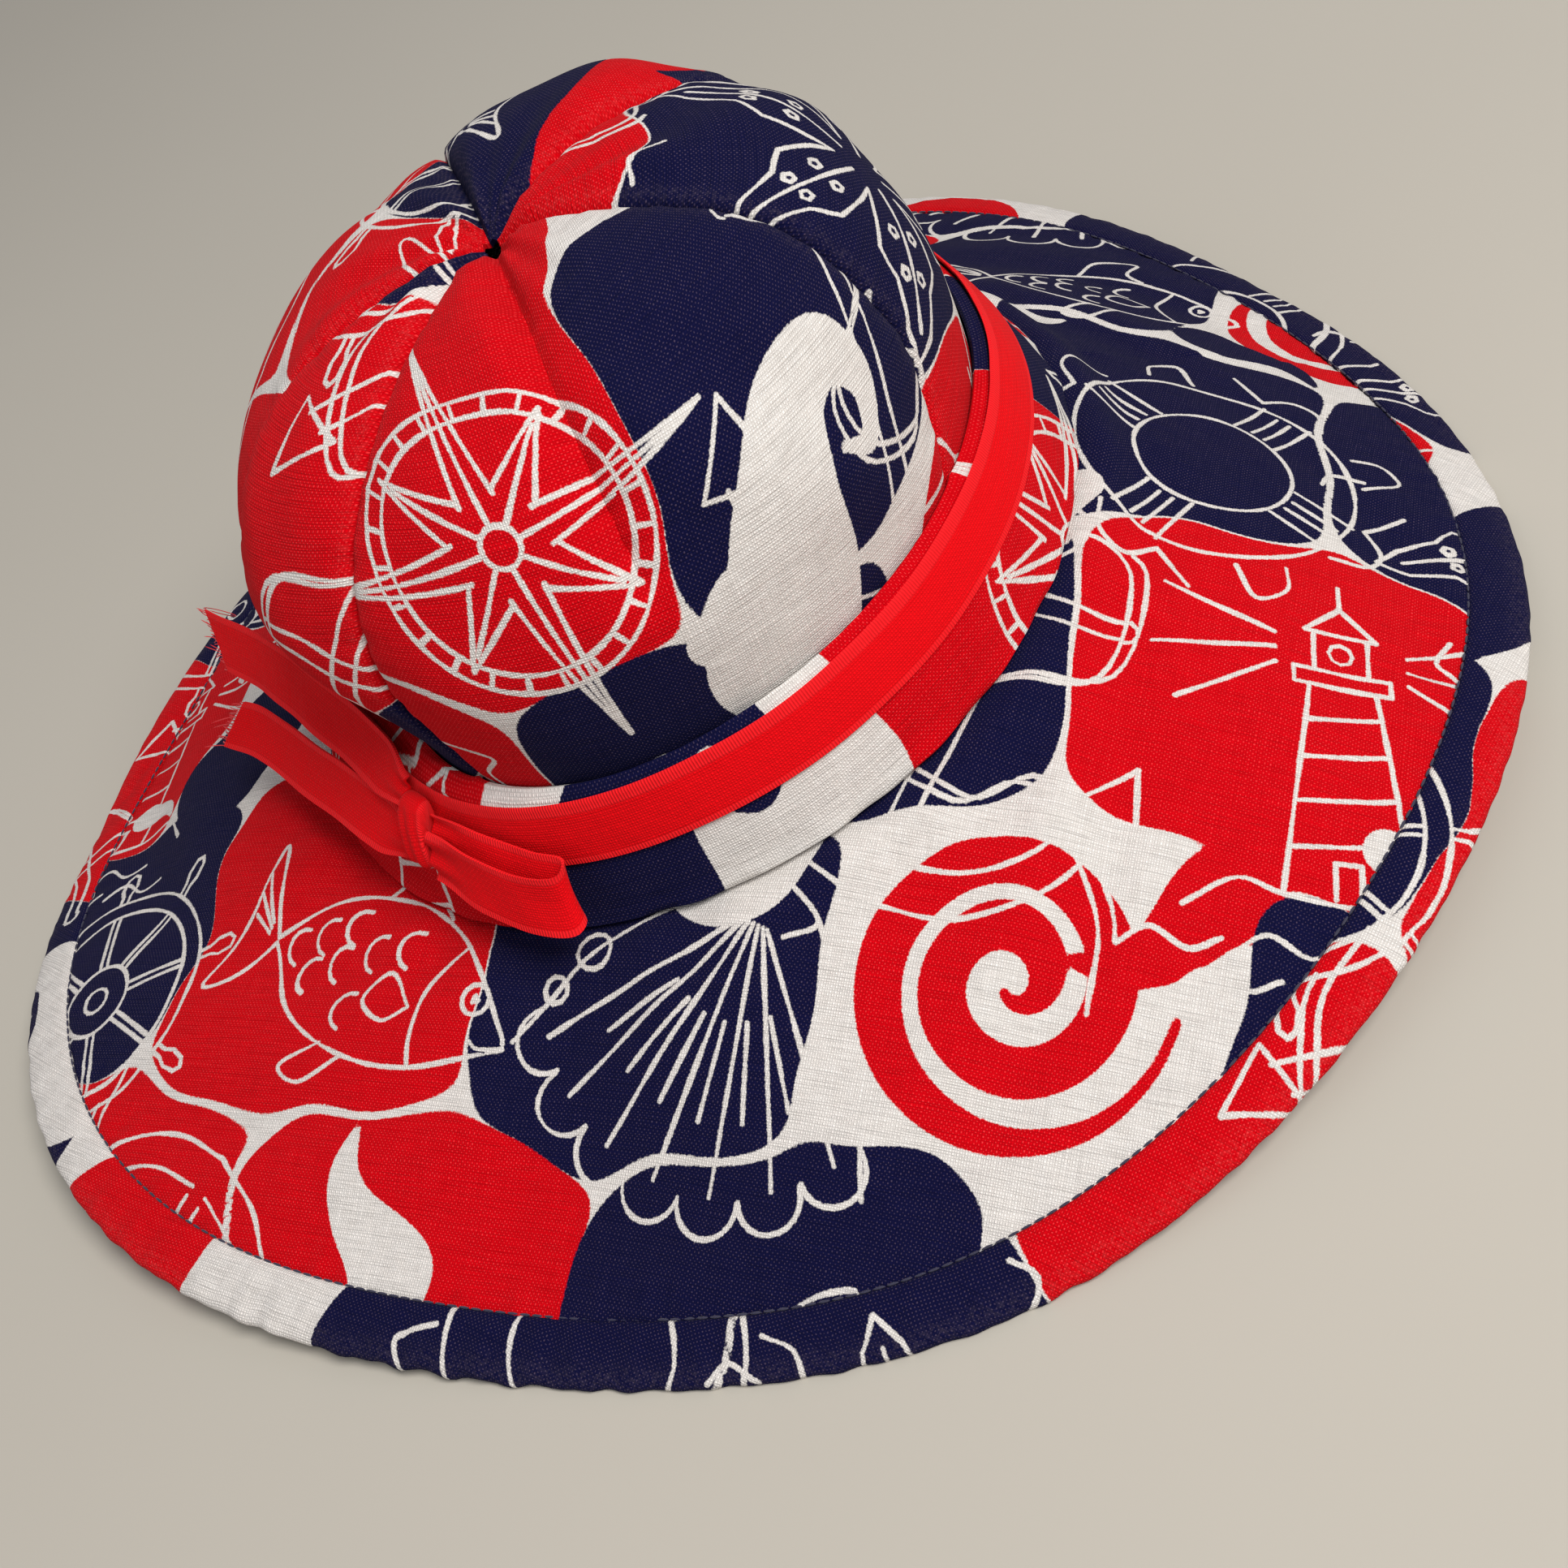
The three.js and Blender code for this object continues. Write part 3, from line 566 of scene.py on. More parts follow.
def nearest_table(segments):
    """For each small square of the repeat, the segments nearest to it."""
    n = [math.ceil(REPEAT[k] / CHOICE) for k in (0, 1)]
    i, j = np.meshgrid((np.arange(n[0]) + 0.5) * CHOICE, (np.arange(n[1]) + 0.5) * CHOICE, indexing="ij")
    centres = np.stack([i.ravel(), j.ravel()], 1)
    rows = []
    for part in np.array_split(centres, 24):
        near = segment_distance(part[:, None], segments[None])
        rows.append(np.argpartition(near, NEAREST, axis=1)[:, :NEAREST])
    return np.vstack(rows).reshape(*n, NEAREST)


segments = copies_of(segments)
nearest = nearest_table(segments)


def print_fields(uv):
    """Signed distances to the red, navy and white shapes at points of the cloth."""
    g = uv / CELL
    low = np.floor(g).astype(int)
    t = g - low
    total = 0
    for a, wa in ((0, 1 - t[..., 0]), (1, t[..., 0])):
        for b, wb in ((0, 1 - t[..., 1]), (1, t[..., 1])):
            value = fields[:, (low[..., 0] + a) % FIELD[0], (low[..., 1] + b) % FIELD[1]]
            total = total + value * (wa * wb)
    return np.moveaxis(total, 0, -1)


def print_lines(uv):
    """The segments nearest to each face's middle: (faces, LINES_PER_FACE, 5)."""
    tile = np.floor(uv / REPEAT)
    inside = uv - tile * REPEAT
    cell = np.minimum((inside / CHOICE).astype(int), np.array(nearest.shape[:2]) - 1)
    choice = segments[nearest[cell[:, 0], cell[:, 1]]]
    order = np.argsort(segment_distance(inside[:, None], choice), axis=1)[:, :LINES_PER_FACE]
    best = np.take_along_axis(choice, order[..., None], 1)
    shift = np.hstack([tile * REPEAT, tile * REPEAT, np.zeros((len(tile), 1))])
    return best + shift[:, None]


# Meshes

SHARP_ANGLE = 55.0


def weld(points):
    key = np.round(points * 1e3).astype(np.int64)
    _, first, inverse = np.unique(key, axis=0, return_index=True, return_inverse=True)
    return points[first], inverse.reshape(-1)


class Patch:
    """A grid of points with the cloth's own coordinates, seen from the side where j runs left of i."""

    def __init__(self, points, uv, wrong_side=0.0, wear=0.0):
        self.points = points
        self.uv = uv
        self.wrong_side = np.broadcast_to(np.asarray(wrong_side, float), points.shape[:2])
        self.wear = np.broadcast_to(np.asarray(wear, float), points.shape[:2])

    def quads(self):
        n, m = self.points.shape[:2]
        at = np.arange(n * m).reshape(n, m)
        return np.stack([at[:-1, :-1], at[1:, :-1], at[1:, 1:], at[:-1, 1:]], -1).reshape(-1, 4)


def strip(first, second, uv_first, uv_second):
    """The narrow patch between two edges."""
    return Patch(np.stack([first, second], 1), np.stack([uv_first, uv_second], 1))


def shell(outer, inner, uv, uv_inner, wrong_side, ring=False, wear=0.0):
    """A closed layer of cloth from its two faces, given over the same i but any number of j."""
    patches = [
        Patch(outer, uv, wear=wear),
        Patch(inner[:, ::-1], uv_inner[:, ::-1], wrong_side=wrong_side),
        strip(inner[:, 0], outer[:, 0], uv[:, 0], uv[:, 0]),
        strip(outer[:, -1], inner[:, -1], uv[:, -1], uv[:, -1]),
    ]
    if not ring:
        patches.append(side_wall(outer[0], inner[0], uv[0], False))
        patches.append(side_wall(outer[-1], inner[-1], uv[-1], True))
    return patches


def side_wall(outer, inner, uv, last):
    pair = (outer, inner) if last else (inner, outer)
    points = np.stack(pair, 0)
    return Patch(points, np.stack([uv, uv], 0))


def make_mesh(name, patches, material, printed=True):
    """One object from patches, with the print's attributes on its corners and faces."""
    points = np.vstack([p.points.reshape(-1, 3) for p in patches])
    uv = np.vstack([p.uv.reshape(-1, 2) for p in patches])
    marks = [np.stack([p.wrong_side.ravel(), p.wear.ravel(), np.zeros(p.wear.size)], 1) for p in patches]
    marks = np.vstack(marks)
    quads, start = [], 0
    for p in patches:
        quads.append(p.quads() + start)
        start += p.points.shape[0] * p.points.shape[1]
    quads = np.vstack(quads)
    welded, index = weld(points)
    faces = index[quads]
    whole = np.array([len(set(f)) == 4 for f in faces.tolist()])
    quads, faces = quads[whole], faces[whole]
    used, faces = np.unique(faces, return_inverse=True)
    faces = faces.reshape(-1, 4)
    welded = welded[used]
    mesh = bpy.data.meshes.new(name)
    mesh.vertices.add(len(welded))
    mesh.vertices.foreach_set("co", to_row(welded).astype(np.float32).ravel())
    mesh.loops.add(faces.size)
    mesh.loops.foreach_set("vertex_index", faces.astype(np.int32).ravel())
    mesh.polygons.add(len(faces))
    mesh.polygons.foreach_set("loop_start", np.arange(0, faces.size, 4, dtype=np.int32))
    mesh.polygons.foreach_set("use_smooth", np.ones(len(faces), bool))
    mesh.update(calc_edges=True)
    corners = quads.ravel()
    layer = mesh.uv_layers.new(name="cloth")
    layer.data.foreach_set("uv", uv[corners].astype(np.float32).ravel())
    put(mesh, "marks", "CORNER", marks[corners])
    if printed:
        put(mesh, "print", "CORNER", print_fields(uv)[corners])
        lines = print_lines(uv[quads].mean(1))
        for k in range(LINES_PER_FACE):
            put(mesh, f"line_{k}_from", "FACE", lines[:, k, [0, 1, 4]])
            put(mesh, f"line_{k}_to", "FACE", lines[:, k, [2, 3, 4]])
    mesh.set_sharp_from_angle(angle=SHARP_ANGLE * RADIANS)
    mesh.materials.append(material)
    obj = bpy.data.objects.new(name, mesh)
    bpy.context.collection.objects.link(obj)
    return obj


def put(mesh, name, domain, values):
    attribute = mesh.attributes.new(name, "FLOAT_VECTOR", domain)
    attribute.data.foreach_set("vector", values.astype(np.float32).ravel())


def finish_piece(obj, nodes):
    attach(obj, "root")
    if nodes:
        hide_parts(*nodes)
    return obj


# Where the hat's own middle lies in the row: the band's solid tells it

def band_extent():
    azimuth = np.linspace(0, 2 * math.pi, 65)[:-1]
    outer = from_foot(polar(azimuth, np.full(64, BAND_LOW_RADIUS - 0.6), SEAM_LIFT + 1.1))
    return (outer.min(0) + outer.max(0)) / 2


low_corner, high_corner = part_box("side_band")
ROW_SHIFT = np.array([
    (low_corner.x + high_corner.x) * 500 - band_extent()[0],
    (low_corner.y + high_corner.y) * 500 - band_extent()[1],
    -PRESS,
])


def to_row(points):
    """From the hat's own frame before it is pressed on the table, in mm, to the row's, in metres."""
    return (points + ROW_SHIFT) / 1000


# Materials

MATH, VECTOR_MATH, RANGE = "ShaderNodeMath", "ShaderNodeVectorMath", "ShaderNodeMapRange"
NOISE, MIX, SEPARATE = "ShaderNodeTexNoise", "ShaderNodeMix", "ShaderNodeSeparateXYZ"
PRINT_RED, PRINT_NAVY = 0xD4000F, 0x0E0F37
CLOTH_LIGHT, CLOTH_DARK = 0xEAE5E0, 0xDCD5CE
# The pale tint on the weave's raised tops stands for bare thread and for a painted highlight
BARE_THREAD_AND_HIGHLIGHT, WRONG_SIDE, RUBBED = 0xE2BEBE, 0xD6CBC6, 0xE2C8C4
# The selvage red is a painted highlight on the tape's edges; the groove red is painted shade in the groove
# beside them
TAPE_DARK, TAPE_LIGHT, SELVAGE_HIGHLIGHT_RED, GROOVE_SHADE_RED = 0xD6020A, 0xF00814, 0xF43A3E, 0x96060E
NAVY_LIGHT, NAVY_DARK = 0x34324E, 0x141326
RED_LIGHT, RED_DARK = 0xEC2830, 0xB00A14
FLOOR_DARK, FLOOR_LIGHT = 0xB3ADA2, 0xB8B2A7
# Thread spacing in mm: about 18 threads to the centimetre in the canvas and 16 in the tape
CANVAS_THREAD, TAPE_THREAD = 0.57, 0.62
SELVAGE, RIB_PITCH = 1.5, 0.7
# Half the width in mm over which a printed edge runs out, and the height at which a thread passes under
PRINT_EDGE, UNDER_SHARE = 0.14, 0.45


def linear(colour):
    """A colour given as an sRGB hex value, as the linear numbers that a material takes."""
    channels = [(colour >> shift & 255) / 255 for shift in (16, 8, 0)]
    return tuple(c / 12.92 if c <= 0.04045 else ((c + 0.055) / 1.055) ** 2.4 for c in channels) + (1,)


def add(tree, kind, inputs=(), **settings):
    """Adds a node with its settings and links. A node given as an input links its first output in use."""
    node = tree.nodes.new(kind)
    for key, value in settings.items():
        setattr(node, key, value)
    for key, value in dict(inputs).items():
        if isinstance(value, bpy.types.Node):
            value = next(socket for socket in value.outputs if socket.enabled)
        if isinstance(value, bpy.types.NodeSocket):
            tree.links.new(value, node.inputs[key])
        else:
            node.inputs[key].default_value = value
    return node


def weighted_sum(tree, *parts):
    """Adds up values, each times its weight."""
    total = 0.0
    for value, weight in parts:
        total = add(tree, MATH, {0: value, 1: weight, 2: total}, operation="MULTIPLY_ADD")
    return total


def new_material(name):
    material = bpy.data.materials.new(name)
    material.use_nodes = True
    material.node_tree.nodes.clear()
    return material, material.node_tree


def stroke_group():
    """Distance in mm from a place of the cloth to a drawn segment's edge. From's third number is the
    segment's half width."""
    group = bpy.data.node_groups.new("drawn_line", "ShaderNodeTree")
    for name in ("Place", "From", "To"):
        group.interface.new_socket(name=name, in_out="INPUT", socket_type="NodeSocketVector")
    group.interface.new_socket(name="Distance", in_out="OUTPUT", socket_type="NodeSocketFloat")
    source = add(group, "NodeGroupInput")
    place, start, end = (
        add(group, VECTOR_MATH, {0: source.outputs[name], 1: (1, 1, 0)}, operation="MULTIPLY")
        for name in ("Place", "From", "To")
    )
    along = add(group, VECTOR_MATH, {0: end, 1: start}, operation="SUBTRACT")
    away = add(group, VECTOR_MATH, {0: place, 1: start}, operation="SUBTRACT")
    square = add(group, VECTOR_MATH, {0: along, 1: along}, operation="DOT_PRODUCT")
    square = add(group, MATH, {0: square, 1: 1e-6}, operation="MAXIMUM")
    share = add(group, VECTOR_MATH, {0: away, 1: along}, operation="DOT_PRODUCT")
    share = add(group, MATH, {0: share, 1: square}, operation="DIVIDE", use_clamp=True)
    reached = add(group, VECTOR_MATH, {0: along, "Scale": share}, operation="SCALE")
    gap = add(group, VECTOR_MATH, {0: away, 1: reached}, operation="SUBTRACT")
    gap = add(group, VECTOR_MATH, {0: gap}, operation="LENGTH")
    half_width = add(group, SEPARATE, {0: source.outputs["From"]}).outputs["Z"]
    distance = add(group, MATH, {0: gap, 1: half_width}, operation="SUBTRACT")
    add(group, "NodeGroupOutput", {0: distance})
    return group


def drawn_distance(tree, place):
    """Distance from a place of the cloth to the nearest of the drawn lines kept for its face."""
    group = stroke_group()
    strokes = []
    for k in range(LINES_PER_FACE):
        start = add(tree, "ShaderNodeAttribute", attribute_name=f"line_{k}_from").outputs["Vector"]
        end = add(tree, "ShaderNodeAttribute", attribute_name=f"line_{k}_to").outputs["Vector"]
        ends = {"Place": place, "From": start, "To": end}
        strokes.append(add(tree, "ShaderNodeGroup", ends, node_tree=group))
    least = strokes[0]
    for stroke in strokes[1:]:
        least = add(tree, MATH, {0: least, 1: stroke}, operation="MINIMUM")
    return least


def weave_height(tree, place, pitch):
    """Heights of a plain weave: thick and thin threads that pass over and under each other."""
    split = add(tree, SEPARATE, {0: place})
    crests, numbers = [], []
    for axis, stretch, amount in (("Y", (0.05, 1.3, 0), 1.1), ("X", (0.9, 0.04, 0), 0.9)):
        slub = add(tree, VECTOR_MATH, {0: place, 1: stretch}, operation="MULTIPLY")
        slub = add(tree, NOISE, {"Vector": slub, "Scale": 1.0, "Detail": 1.0})
        count = add(tree, MATH, {0: split.outputs[axis], 1: pitch}, operation="DIVIDE")
        count = add(tree, MATH, {0: slub, 1: amount, 2: count}, operation="MULTIPLY_ADD")
        wave = add(tree, MATH, {0: count, 1: math.pi}, operation="MULTIPLY")
        wave = add(tree, MATH, {0: wave}, operation="SINE")
        crests.append(add(tree, MATH, {0: wave}, operation="ABSOLUTE"))
        numbers.append(add(tree, MATH, {0: count}, operation="FLOOR"))
    crossing = add(tree, MATH, {0: crests[0], 1: crests[1]}, operation="MULTIPLY")
    check = add(tree, MATH, {0: numbers[0], 1: numbers[1]}, operation="ADD")
    check = add(tree, MATH, {0: check, 1: 2.0}, operation="MODULO")
    check = add(tree, MATH, {0: check}, operation="ABSOLUTE")
    over = add(tree, MATH, {0: check, 1: 1 - UNDER_SHARE, 2: UNDER_SHARE}, operation="MULTIPLY_ADD")
    return add(tree, MATH, {0: crossing, 1: over}, operation="MULTIPLY")


def canvas_material():
    """Cotton canvas, plain woven, half bleached and printed with pigment: a dry cloth with hardly a sheen,
    whose threads show through the colour."""
    material, tree = new_material("printed_cotton_canvas")
    place = add(tree, "ShaderNodeUVMap", uv_map="cloth")
    inks = add(tree, "ShaderNodeAttribute", attribute_name="print").outputs["Vector"]
    inks = add(tree, SEPARATE, {0: inks})
    marks = add(tree, "ShaderNodeAttribute", attribute_name="marks").outputs["Vector"]
    marks = add(tree, SEPARATE, {0: marks})
    # The colour creeps along the threads, so every printed edge is a little ragged
    creep = add(tree, NOISE, {"Vector": place, "Scale": 1.6})
    creep = add(tree, MATH, {0: creep, 1: 0.8, 2: -0.4}, operation="MULTIPLY_ADD")
    swell = add(tree, NOISE, {"Vector": place, "Scale": 0.09, "Detail": 1.0})
    swell = add(tree, MATH, {0: swell, 1: 0.9, 2: -0.45}, operation="MULTIPLY_ADD")
    drawn = add(tree, MATH, {0: drawn_distance(tree, place), 1: swell}, operation="ADD")
    ground = add(tree, NOISE, {"Vector": place, "Scale": 0.35, "Detail": 3.0})
    ground = add(tree, MIX, {0: ground, 6: linear(CLOTH_LIGHT), 7: linear(CLOTH_DARK)}, data_type="RGBA")
    colour = ground
    for distance, wander, ink in (
        (inks.outputs["X"], 1.0, linear(PRINT_RED)), (inks.outputs["Y"], 1.0, linear(PRINT_NAVY)),
        (inks.outputs["Z"], 1.0, ground), (drawn, 0.8, ground),
    ):
        ragged = add(tree, MATH, {0: creep, 1: wander, 2: distance}, operation="MULTIPLY_ADD")
        share = add(tree, RANGE, {0: ragged, 1: -PRINT_EDGE, 2: PRINT_EDGE, 3: 1.0, 4: 0.0})
        colour = add(tree, MIX, {0: share, 6: colour, 7: ink}, data_type="RGBA")
    # Threads take the colour unevenly; the weave's height paints highlights on its tops and shade in its
    # gaps; the pale tops also stand for bare thread; the wrong side is paler
    threads = []
    for stretch in ((0.10, 1.9, 0), (1.7, 0.12, 0)):
        thread = add(tree, VECTOR_MATH, {0: place, 1: stretch}, operation="MULTIPLY")
        threads.append(add(tree, NOISE, {"Vector": thread, "Scale": 1.0, "Detail": 3.0, "Roughness": 0.6}))
    weft, warp = threads
    height = weave_height(tree, place, CANVAS_THREAD)
    # Painted shade and highlight: the weave's height darkens the gaps and lightens the tops, on top of the
    # threads' own uneven colour
    shade = weighted_sum(tree, (weft, 0.5), (warp, 0.2), (height, 0.46))
    shade = add(tree, RANGE, {0: shade, 1: 0.25, 2: 0.80, 3: 0.60, 4: 1.22})
    colour = add(tree, MIX, {0: 1.0, 6: colour, 7: shade}, data_type="RGBA", blend_type="MULTIPLY")
    # Painted highlight: the raised tops of the weave are tinted pale where the threads catch the light, also
    # standing for bare thread
    risen = add(tree, RANGE, {0: height, 1: 0.45, 2: 1.0})
    thin = add(tree, RANGE, {0: warp, 1: 0.35, 2: 0.7, 3: 0.03, 4: 0.11})
    bare_and_highlight = add(tree, MATH, {0: risen, 1: thin}, operation="MULTIPLY")
    wrong = add(tree, MATH, {0: marks.outputs["X"], 1: 0.55}, operation="MULTIPLY")
    rub = add(tree, NOISE, {"Vector": place, "Scale": 0.9, "Detail": 4.0, "Roughness": 0.7})
    rub = add(tree, RANGE, {0: rub, 1: 0.45, 2: 0.8, 4: 0.05})
    rub = add(tree, MATH, {0: marks.outputs["Y"], 1: rub}, operation="MULTIPLY")
    for share, tint in ((bare_and_highlight, BARE_THREAD_AND_HIGHLIGHT), (wrong, WRONG_SIDE), (rub, RUBBED)):
        colour = add(tree, MIX, {0: share, 6: colour, 7: linear(tint)}, data_type="RGBA")
    crumple = add(tree, NOISE, {"Vector": place, "Scale": 0.055, "Detail": 3.0, "Roughness": 0.55})
    lift = weighted_sum(tree, (height, 0.00024), (crumple, 0.0012), (weft, 0.00034))
    bump = add(tree, "ShaderNodeBump", {"Strength": 0.8, "Distance": 1.0, "Height": lift})
    rough = add(tree, NOISE, {"Vector": place, "Scale": 0.8})
    rough = add(tree, RANGE, {0: rough, 1: 0.3, 2: 0.7, 3: 0.82, 4: 0.95})
    shader = add(tree, "ShaderNodeBsdfPrincipled", {
        "Base Color": colour, "Roughness": rough, "Normal": bump,
        "Sheen Weight": 0.015, "Sheen Roughness": 0.5, "Specular IOR Level": 0.05,
    })
    add(tree, "ShaderNodeOutputMaterial", {0: shader})
    return material


def tape_material():
    """Cotton tape, dyed red: an open plain weave between two tight, ribbed selvages, painted paler as a
    highlight.
    """
    material, tree = new_material("red_cotton_tape")
    place = add(tree, "ShaderNodeUVMap", uv_map="cloth")
    split = add(tree, SEPARATE, {0: place})
    from_edge = add(tree, MATH, {0: split.outputs["Y"]}, operation="ABSOLUTE")
    from_edge = add(tree, MATH, {0: TAPE_WIDTH / 2, 1: from_edge}, operation="SUBTRACT")
    body = add(tree, RANGE, {0: from_edge, 1: SELVAGE - 0.2, 2: SELVAGE + 0.2})
    open_weave = add(tree, RANGE, {0: weave_height(tree, place, TAPE_THREAD), 3: -1.0, 4: 1.0})
    ribs = add(tree, MATH, {0: split.outputs["X"], 1: 2 * math.pi / RIB_PITCH}, operation="MULTIPLY")
    ribs = add(tree, MATH, {0: ribs}, operation="SINE")
    weave = add(tree, MIX, {0: body, 2: ribs, 3: open_weave}, data_type="FLOAT")
    groove = add(tree, MATH, {0: from_edge, 1: SELVAGE}, operation="SUBTRACT")
    groove = add(tree, MATH, {0: groove}, operation="ABSOLUTE")
    groove = add(tree, RANGE, {0: groove, 1: 0.0, 2: 0.26, 3: 1.0, 4: 0.0})
    fibre = add(tree, VECTOR_MATH, {0: place, 1: (0.9, 2.2, 0)}, operation="MULTIPLY")
    fibre = add(tree, NOISE, {"Vector": fibre, "Scale": 1.0, "Detail": 3.0, "Roughness": 0.6})
    colour = add(tree, MIX, {0: fibre, 6: linear(TAPE_DARK), 7: linear(TAPE_LIGHT)}, data_type="RGBA")
    # Painted highlight: the selvages are tinted paler, as if they catch the light
    painted_selvage_highlight = add(tree, MATH, {0: body, 1: -0.22, 2: 0.22}, operation="MULTIPLY_ADD")
    # Painted shade: the groove beside each selvage is darkened
    pressed = add(tree, MATH, {0: groove, 1: 0.16}, operation="MULTIPLY")
    for share, tint in ((painted_selvage_highlight, SELVAGE_HIGHLIGHT_RED), (pressed, GROOVE_SHADE_RED)):
        colour = add(tree, MIX, {0: share, 6: colour, 7: linear(tint)}, data_type="RGBA")
    # Painted shade and highlight: the ribs and the open weave lighten and darken the colour by their height
    shade = add(tree, RANGE, {0: weave, 1: -1.0, 2: 1.0, 3: 0.80, 4: 1.22})
    colour = add(tree, MIX, {0: 1.0, 6: colour, 7: shade}, data_type="RGBA", blend_type="MULTIPLY")
    crumple = add(tree, NOISE, {"Vector": place, "Scale": 0.12})
    lift = weighted_sum(tree, (weave, 0.00012), (groove, -0.00010), (crumple, 0.0009))
    bump = add(tree, "ShaderNodeBump", {"Strength": 0.7, "Distance": 1.0, "Height": lift})
    rough = add(tree, RANGE, {0: fibre, 1: 0.3, 2: 0.7, 3: 0.66, 4: 0.82})
    shader = add(tree, "ShaderNodeBsdfPrincipled", {
        "Base Color": colour, "Roughness": rough, "Normal": bump,
        "Sheen Weight": 0.02, "Sheen Roughness": 0.4, "Specular IOR Level": 0.08,
    })
    add(tree, "ShaderNodeOutputMaterial", {0: shader})
    return material


def thread_material(name, light, dark):
    """Spun cotton sewing thread: its fuzz breaks up the colour and dulls the light on it."""
    material, tree = new_material(name)
    place = add(tree, "ShaderNodeTexCoord").outputs["Object"]
    fuzz = add(tree, NOISE, {"Vector": place, "Scale": 2600.0})
    colour = add(tree, MIX, {0: fuzz, 6: linear(dark), 7: linear(light)}, data_type="RGBA")
    bump = add(tree, "ShaderNodeBump", {"Strength": 0.5, "Distance": 0.0002, "Height": fuzz})
    rough = add(tree, RANGE, {0: fuzz, 3: 0.6, 4: 0.85})
    shader = add(tree, "ShaderNodeBsdfPrincipled", {
        "Base Color": colour, "Roughness": rough, "Normal": bump, "Sheen Weight": 0.2,
    })
    add(tree, "ShaderNodeOutputMaterial", {0: shader})
    return material


CANVAS = canvas_material()
TAPE = tape_material()
NAVY_THREAD = thread_material("navy_cotton_thread", NAVY_LIGHT, NAVY_DARK)
RED_THREAD = thread_material("red_cotton_thread", RED_LIGHT, RED_DARK)


# Crown

CROWN_ROWS, CROWDING = 104, 0.06


def seam_azimuth(index, at):
    turn = 360 if index >= len(SEAMS) else 0
    foot, shoulder, _ = SEAMS[index % len(SEAMS)]
    return (turn + foot + (shoulder - foot) * smooth(at / 0.5)) * RADIANS


def crown_base(azimuth, at, inward, puff):
    radius = CROWN_RADIUS * read(CROWN_PROFILE, 1, at)
    height = CROWN_HEIGHT * read(CROWN_PROFILE, 2, at)
    low, high = np.maximum(0, at - 0.004), np.minimum(1, at + 0.004)
    run = CROWN_RADIUS * (read(CROWN_PROFILE, 1, high) - read(CROWN_PROFILE, 1, low))
    rise = CROWN_HEIGHT * (read(CROWN_PROFILE, 2, high) - read(CROWN_PROFILE, 2, low))
    length = np.hypot(run, rise)
    out = puff - inward
    r = np.maximum(0.1, radius + out * rise / length - CROWN_CINCH * cinch_at(azimuth, height))
    h = height - out * run / length
    points = polar(azimuth, r, h + SEAM_LIFT)
    points[..., 0] += lean_at(height)
    return points


def crown_puff(panel, share, at):
    _, first, last, puff = panel
    span = last - first
    local = share * span
    shape = read(CROWN_PROFILE, 3, at) * puff_at(CROWN_HEIGHT * read(CROWN_PROFILE, 2, at))
    hill = np.sqrt(np.sin(math.pi * np.clip(share, 0, 1)))
    dart = smooth((at - DART_END) / 0.25) if span > 1 else 0 * at
    valley = dart * SEAMS[DART_SEAM][2] * np.exp(-(((local - (DART_SEAM - first)) / 0.13) ** 2))
    depth = np.where(share < 0.5, SEAMS[first][2], SEAMS[last % len(SEAMS)][2])
    return shape * (puff * hill - depth * (1 - hill) * 0.35 - valley)


def crown_arc():
    """Length up the crown's side, against at."""
    at = np.linspace(0, 1, 201)
    r = CROWN_RADIUS * read(CROWN_PROFILE, 1, at)
    h = CROWN_HEIGHT * read(CROWN_PROFILE, 2, at)
    return at, np.concatenate([[0], np.cumsum(np.hypot(np.diff(r), np.diff(h)))])


ARC_AT, ARC_LENGTH = crown_arc()


def crown_detail(panel, share, at, width, azimuth):
    """What the sewing does to each gore: grooves, short puckers along the seams, folds at the tip."""
    _, first, last, _ = panel
    up = np.interp(at, ARC_AT, ARC_LENGTH)
    near = np.minimum(share, 1 - share) * width
    side = np.where(share < 0.5, first, last % len(SEAMS)) * 1.7
    shown = puff_at(CROWN_HEIGHT * read(CROWN_PROFILE, 2, at))
    groove = -1.2 * np.exp(-((near / 0.9) ** 2)) - 0.3 * np.exp(-((near / 3.5) ** 2))
    beside = np.exp(-near / 6.0) * (1 - np.exp(-near / 1.2))
    pucker = beside * ripple(up + 9 * side, (0.30, 0.74), (0.22, 1.13))
    tip = smooth((at - 0.76) / 0.16) * smooth((1 - at) / 0.03)
    folds = tip * ripple(azimuth, (0.55, 11), (0.4, 17), (0.25, 7))
    soft = ripple(azimuth * 4.5 + up * 0.045, (0.55, 1.7), (0.4, 2.9)) * shown * smooth((1 - at) / 0.15)
    if last - first > 1:
        middle = np.abs(share * (last - first) - (DART_SEAM - first)) * width / (last - first)
        dart = smooth((at - DART_END - 0.03) / 0.12)
        groove = groove - dart * (1.6 * np.exp(-((middle / 1.3) ** 2)) + 1.4 * np.exp(-((middle / 5.0) ** 2)))
        pucker = pucker + dart * np.exp(-middle / 6.0) * ripple(up, (0.4, 0.8), (0.3, 1.21))
    return groove * (0.4 + 0.6 * shown) + pucker * (0.3 + 0.7 * shown) + folds + soft


# print's turn and place on each gore
CROWN_PRINT = {
    "crown_front": (6, 228, 26), "crown_right": (-4, 40, 118), "crown_back_right": (3, 236, 150),
    "crown_back_left": (0, 92, 212), "crown_left": (-6, 60, 190),
}


def placed(u, v, turn, x, y):
    c, s = math.cos(turn * RADIANS), math.sin(turn * RADIANS)
    return np.stack([c * u - s * v + x, s * u + c * v + y], -1)


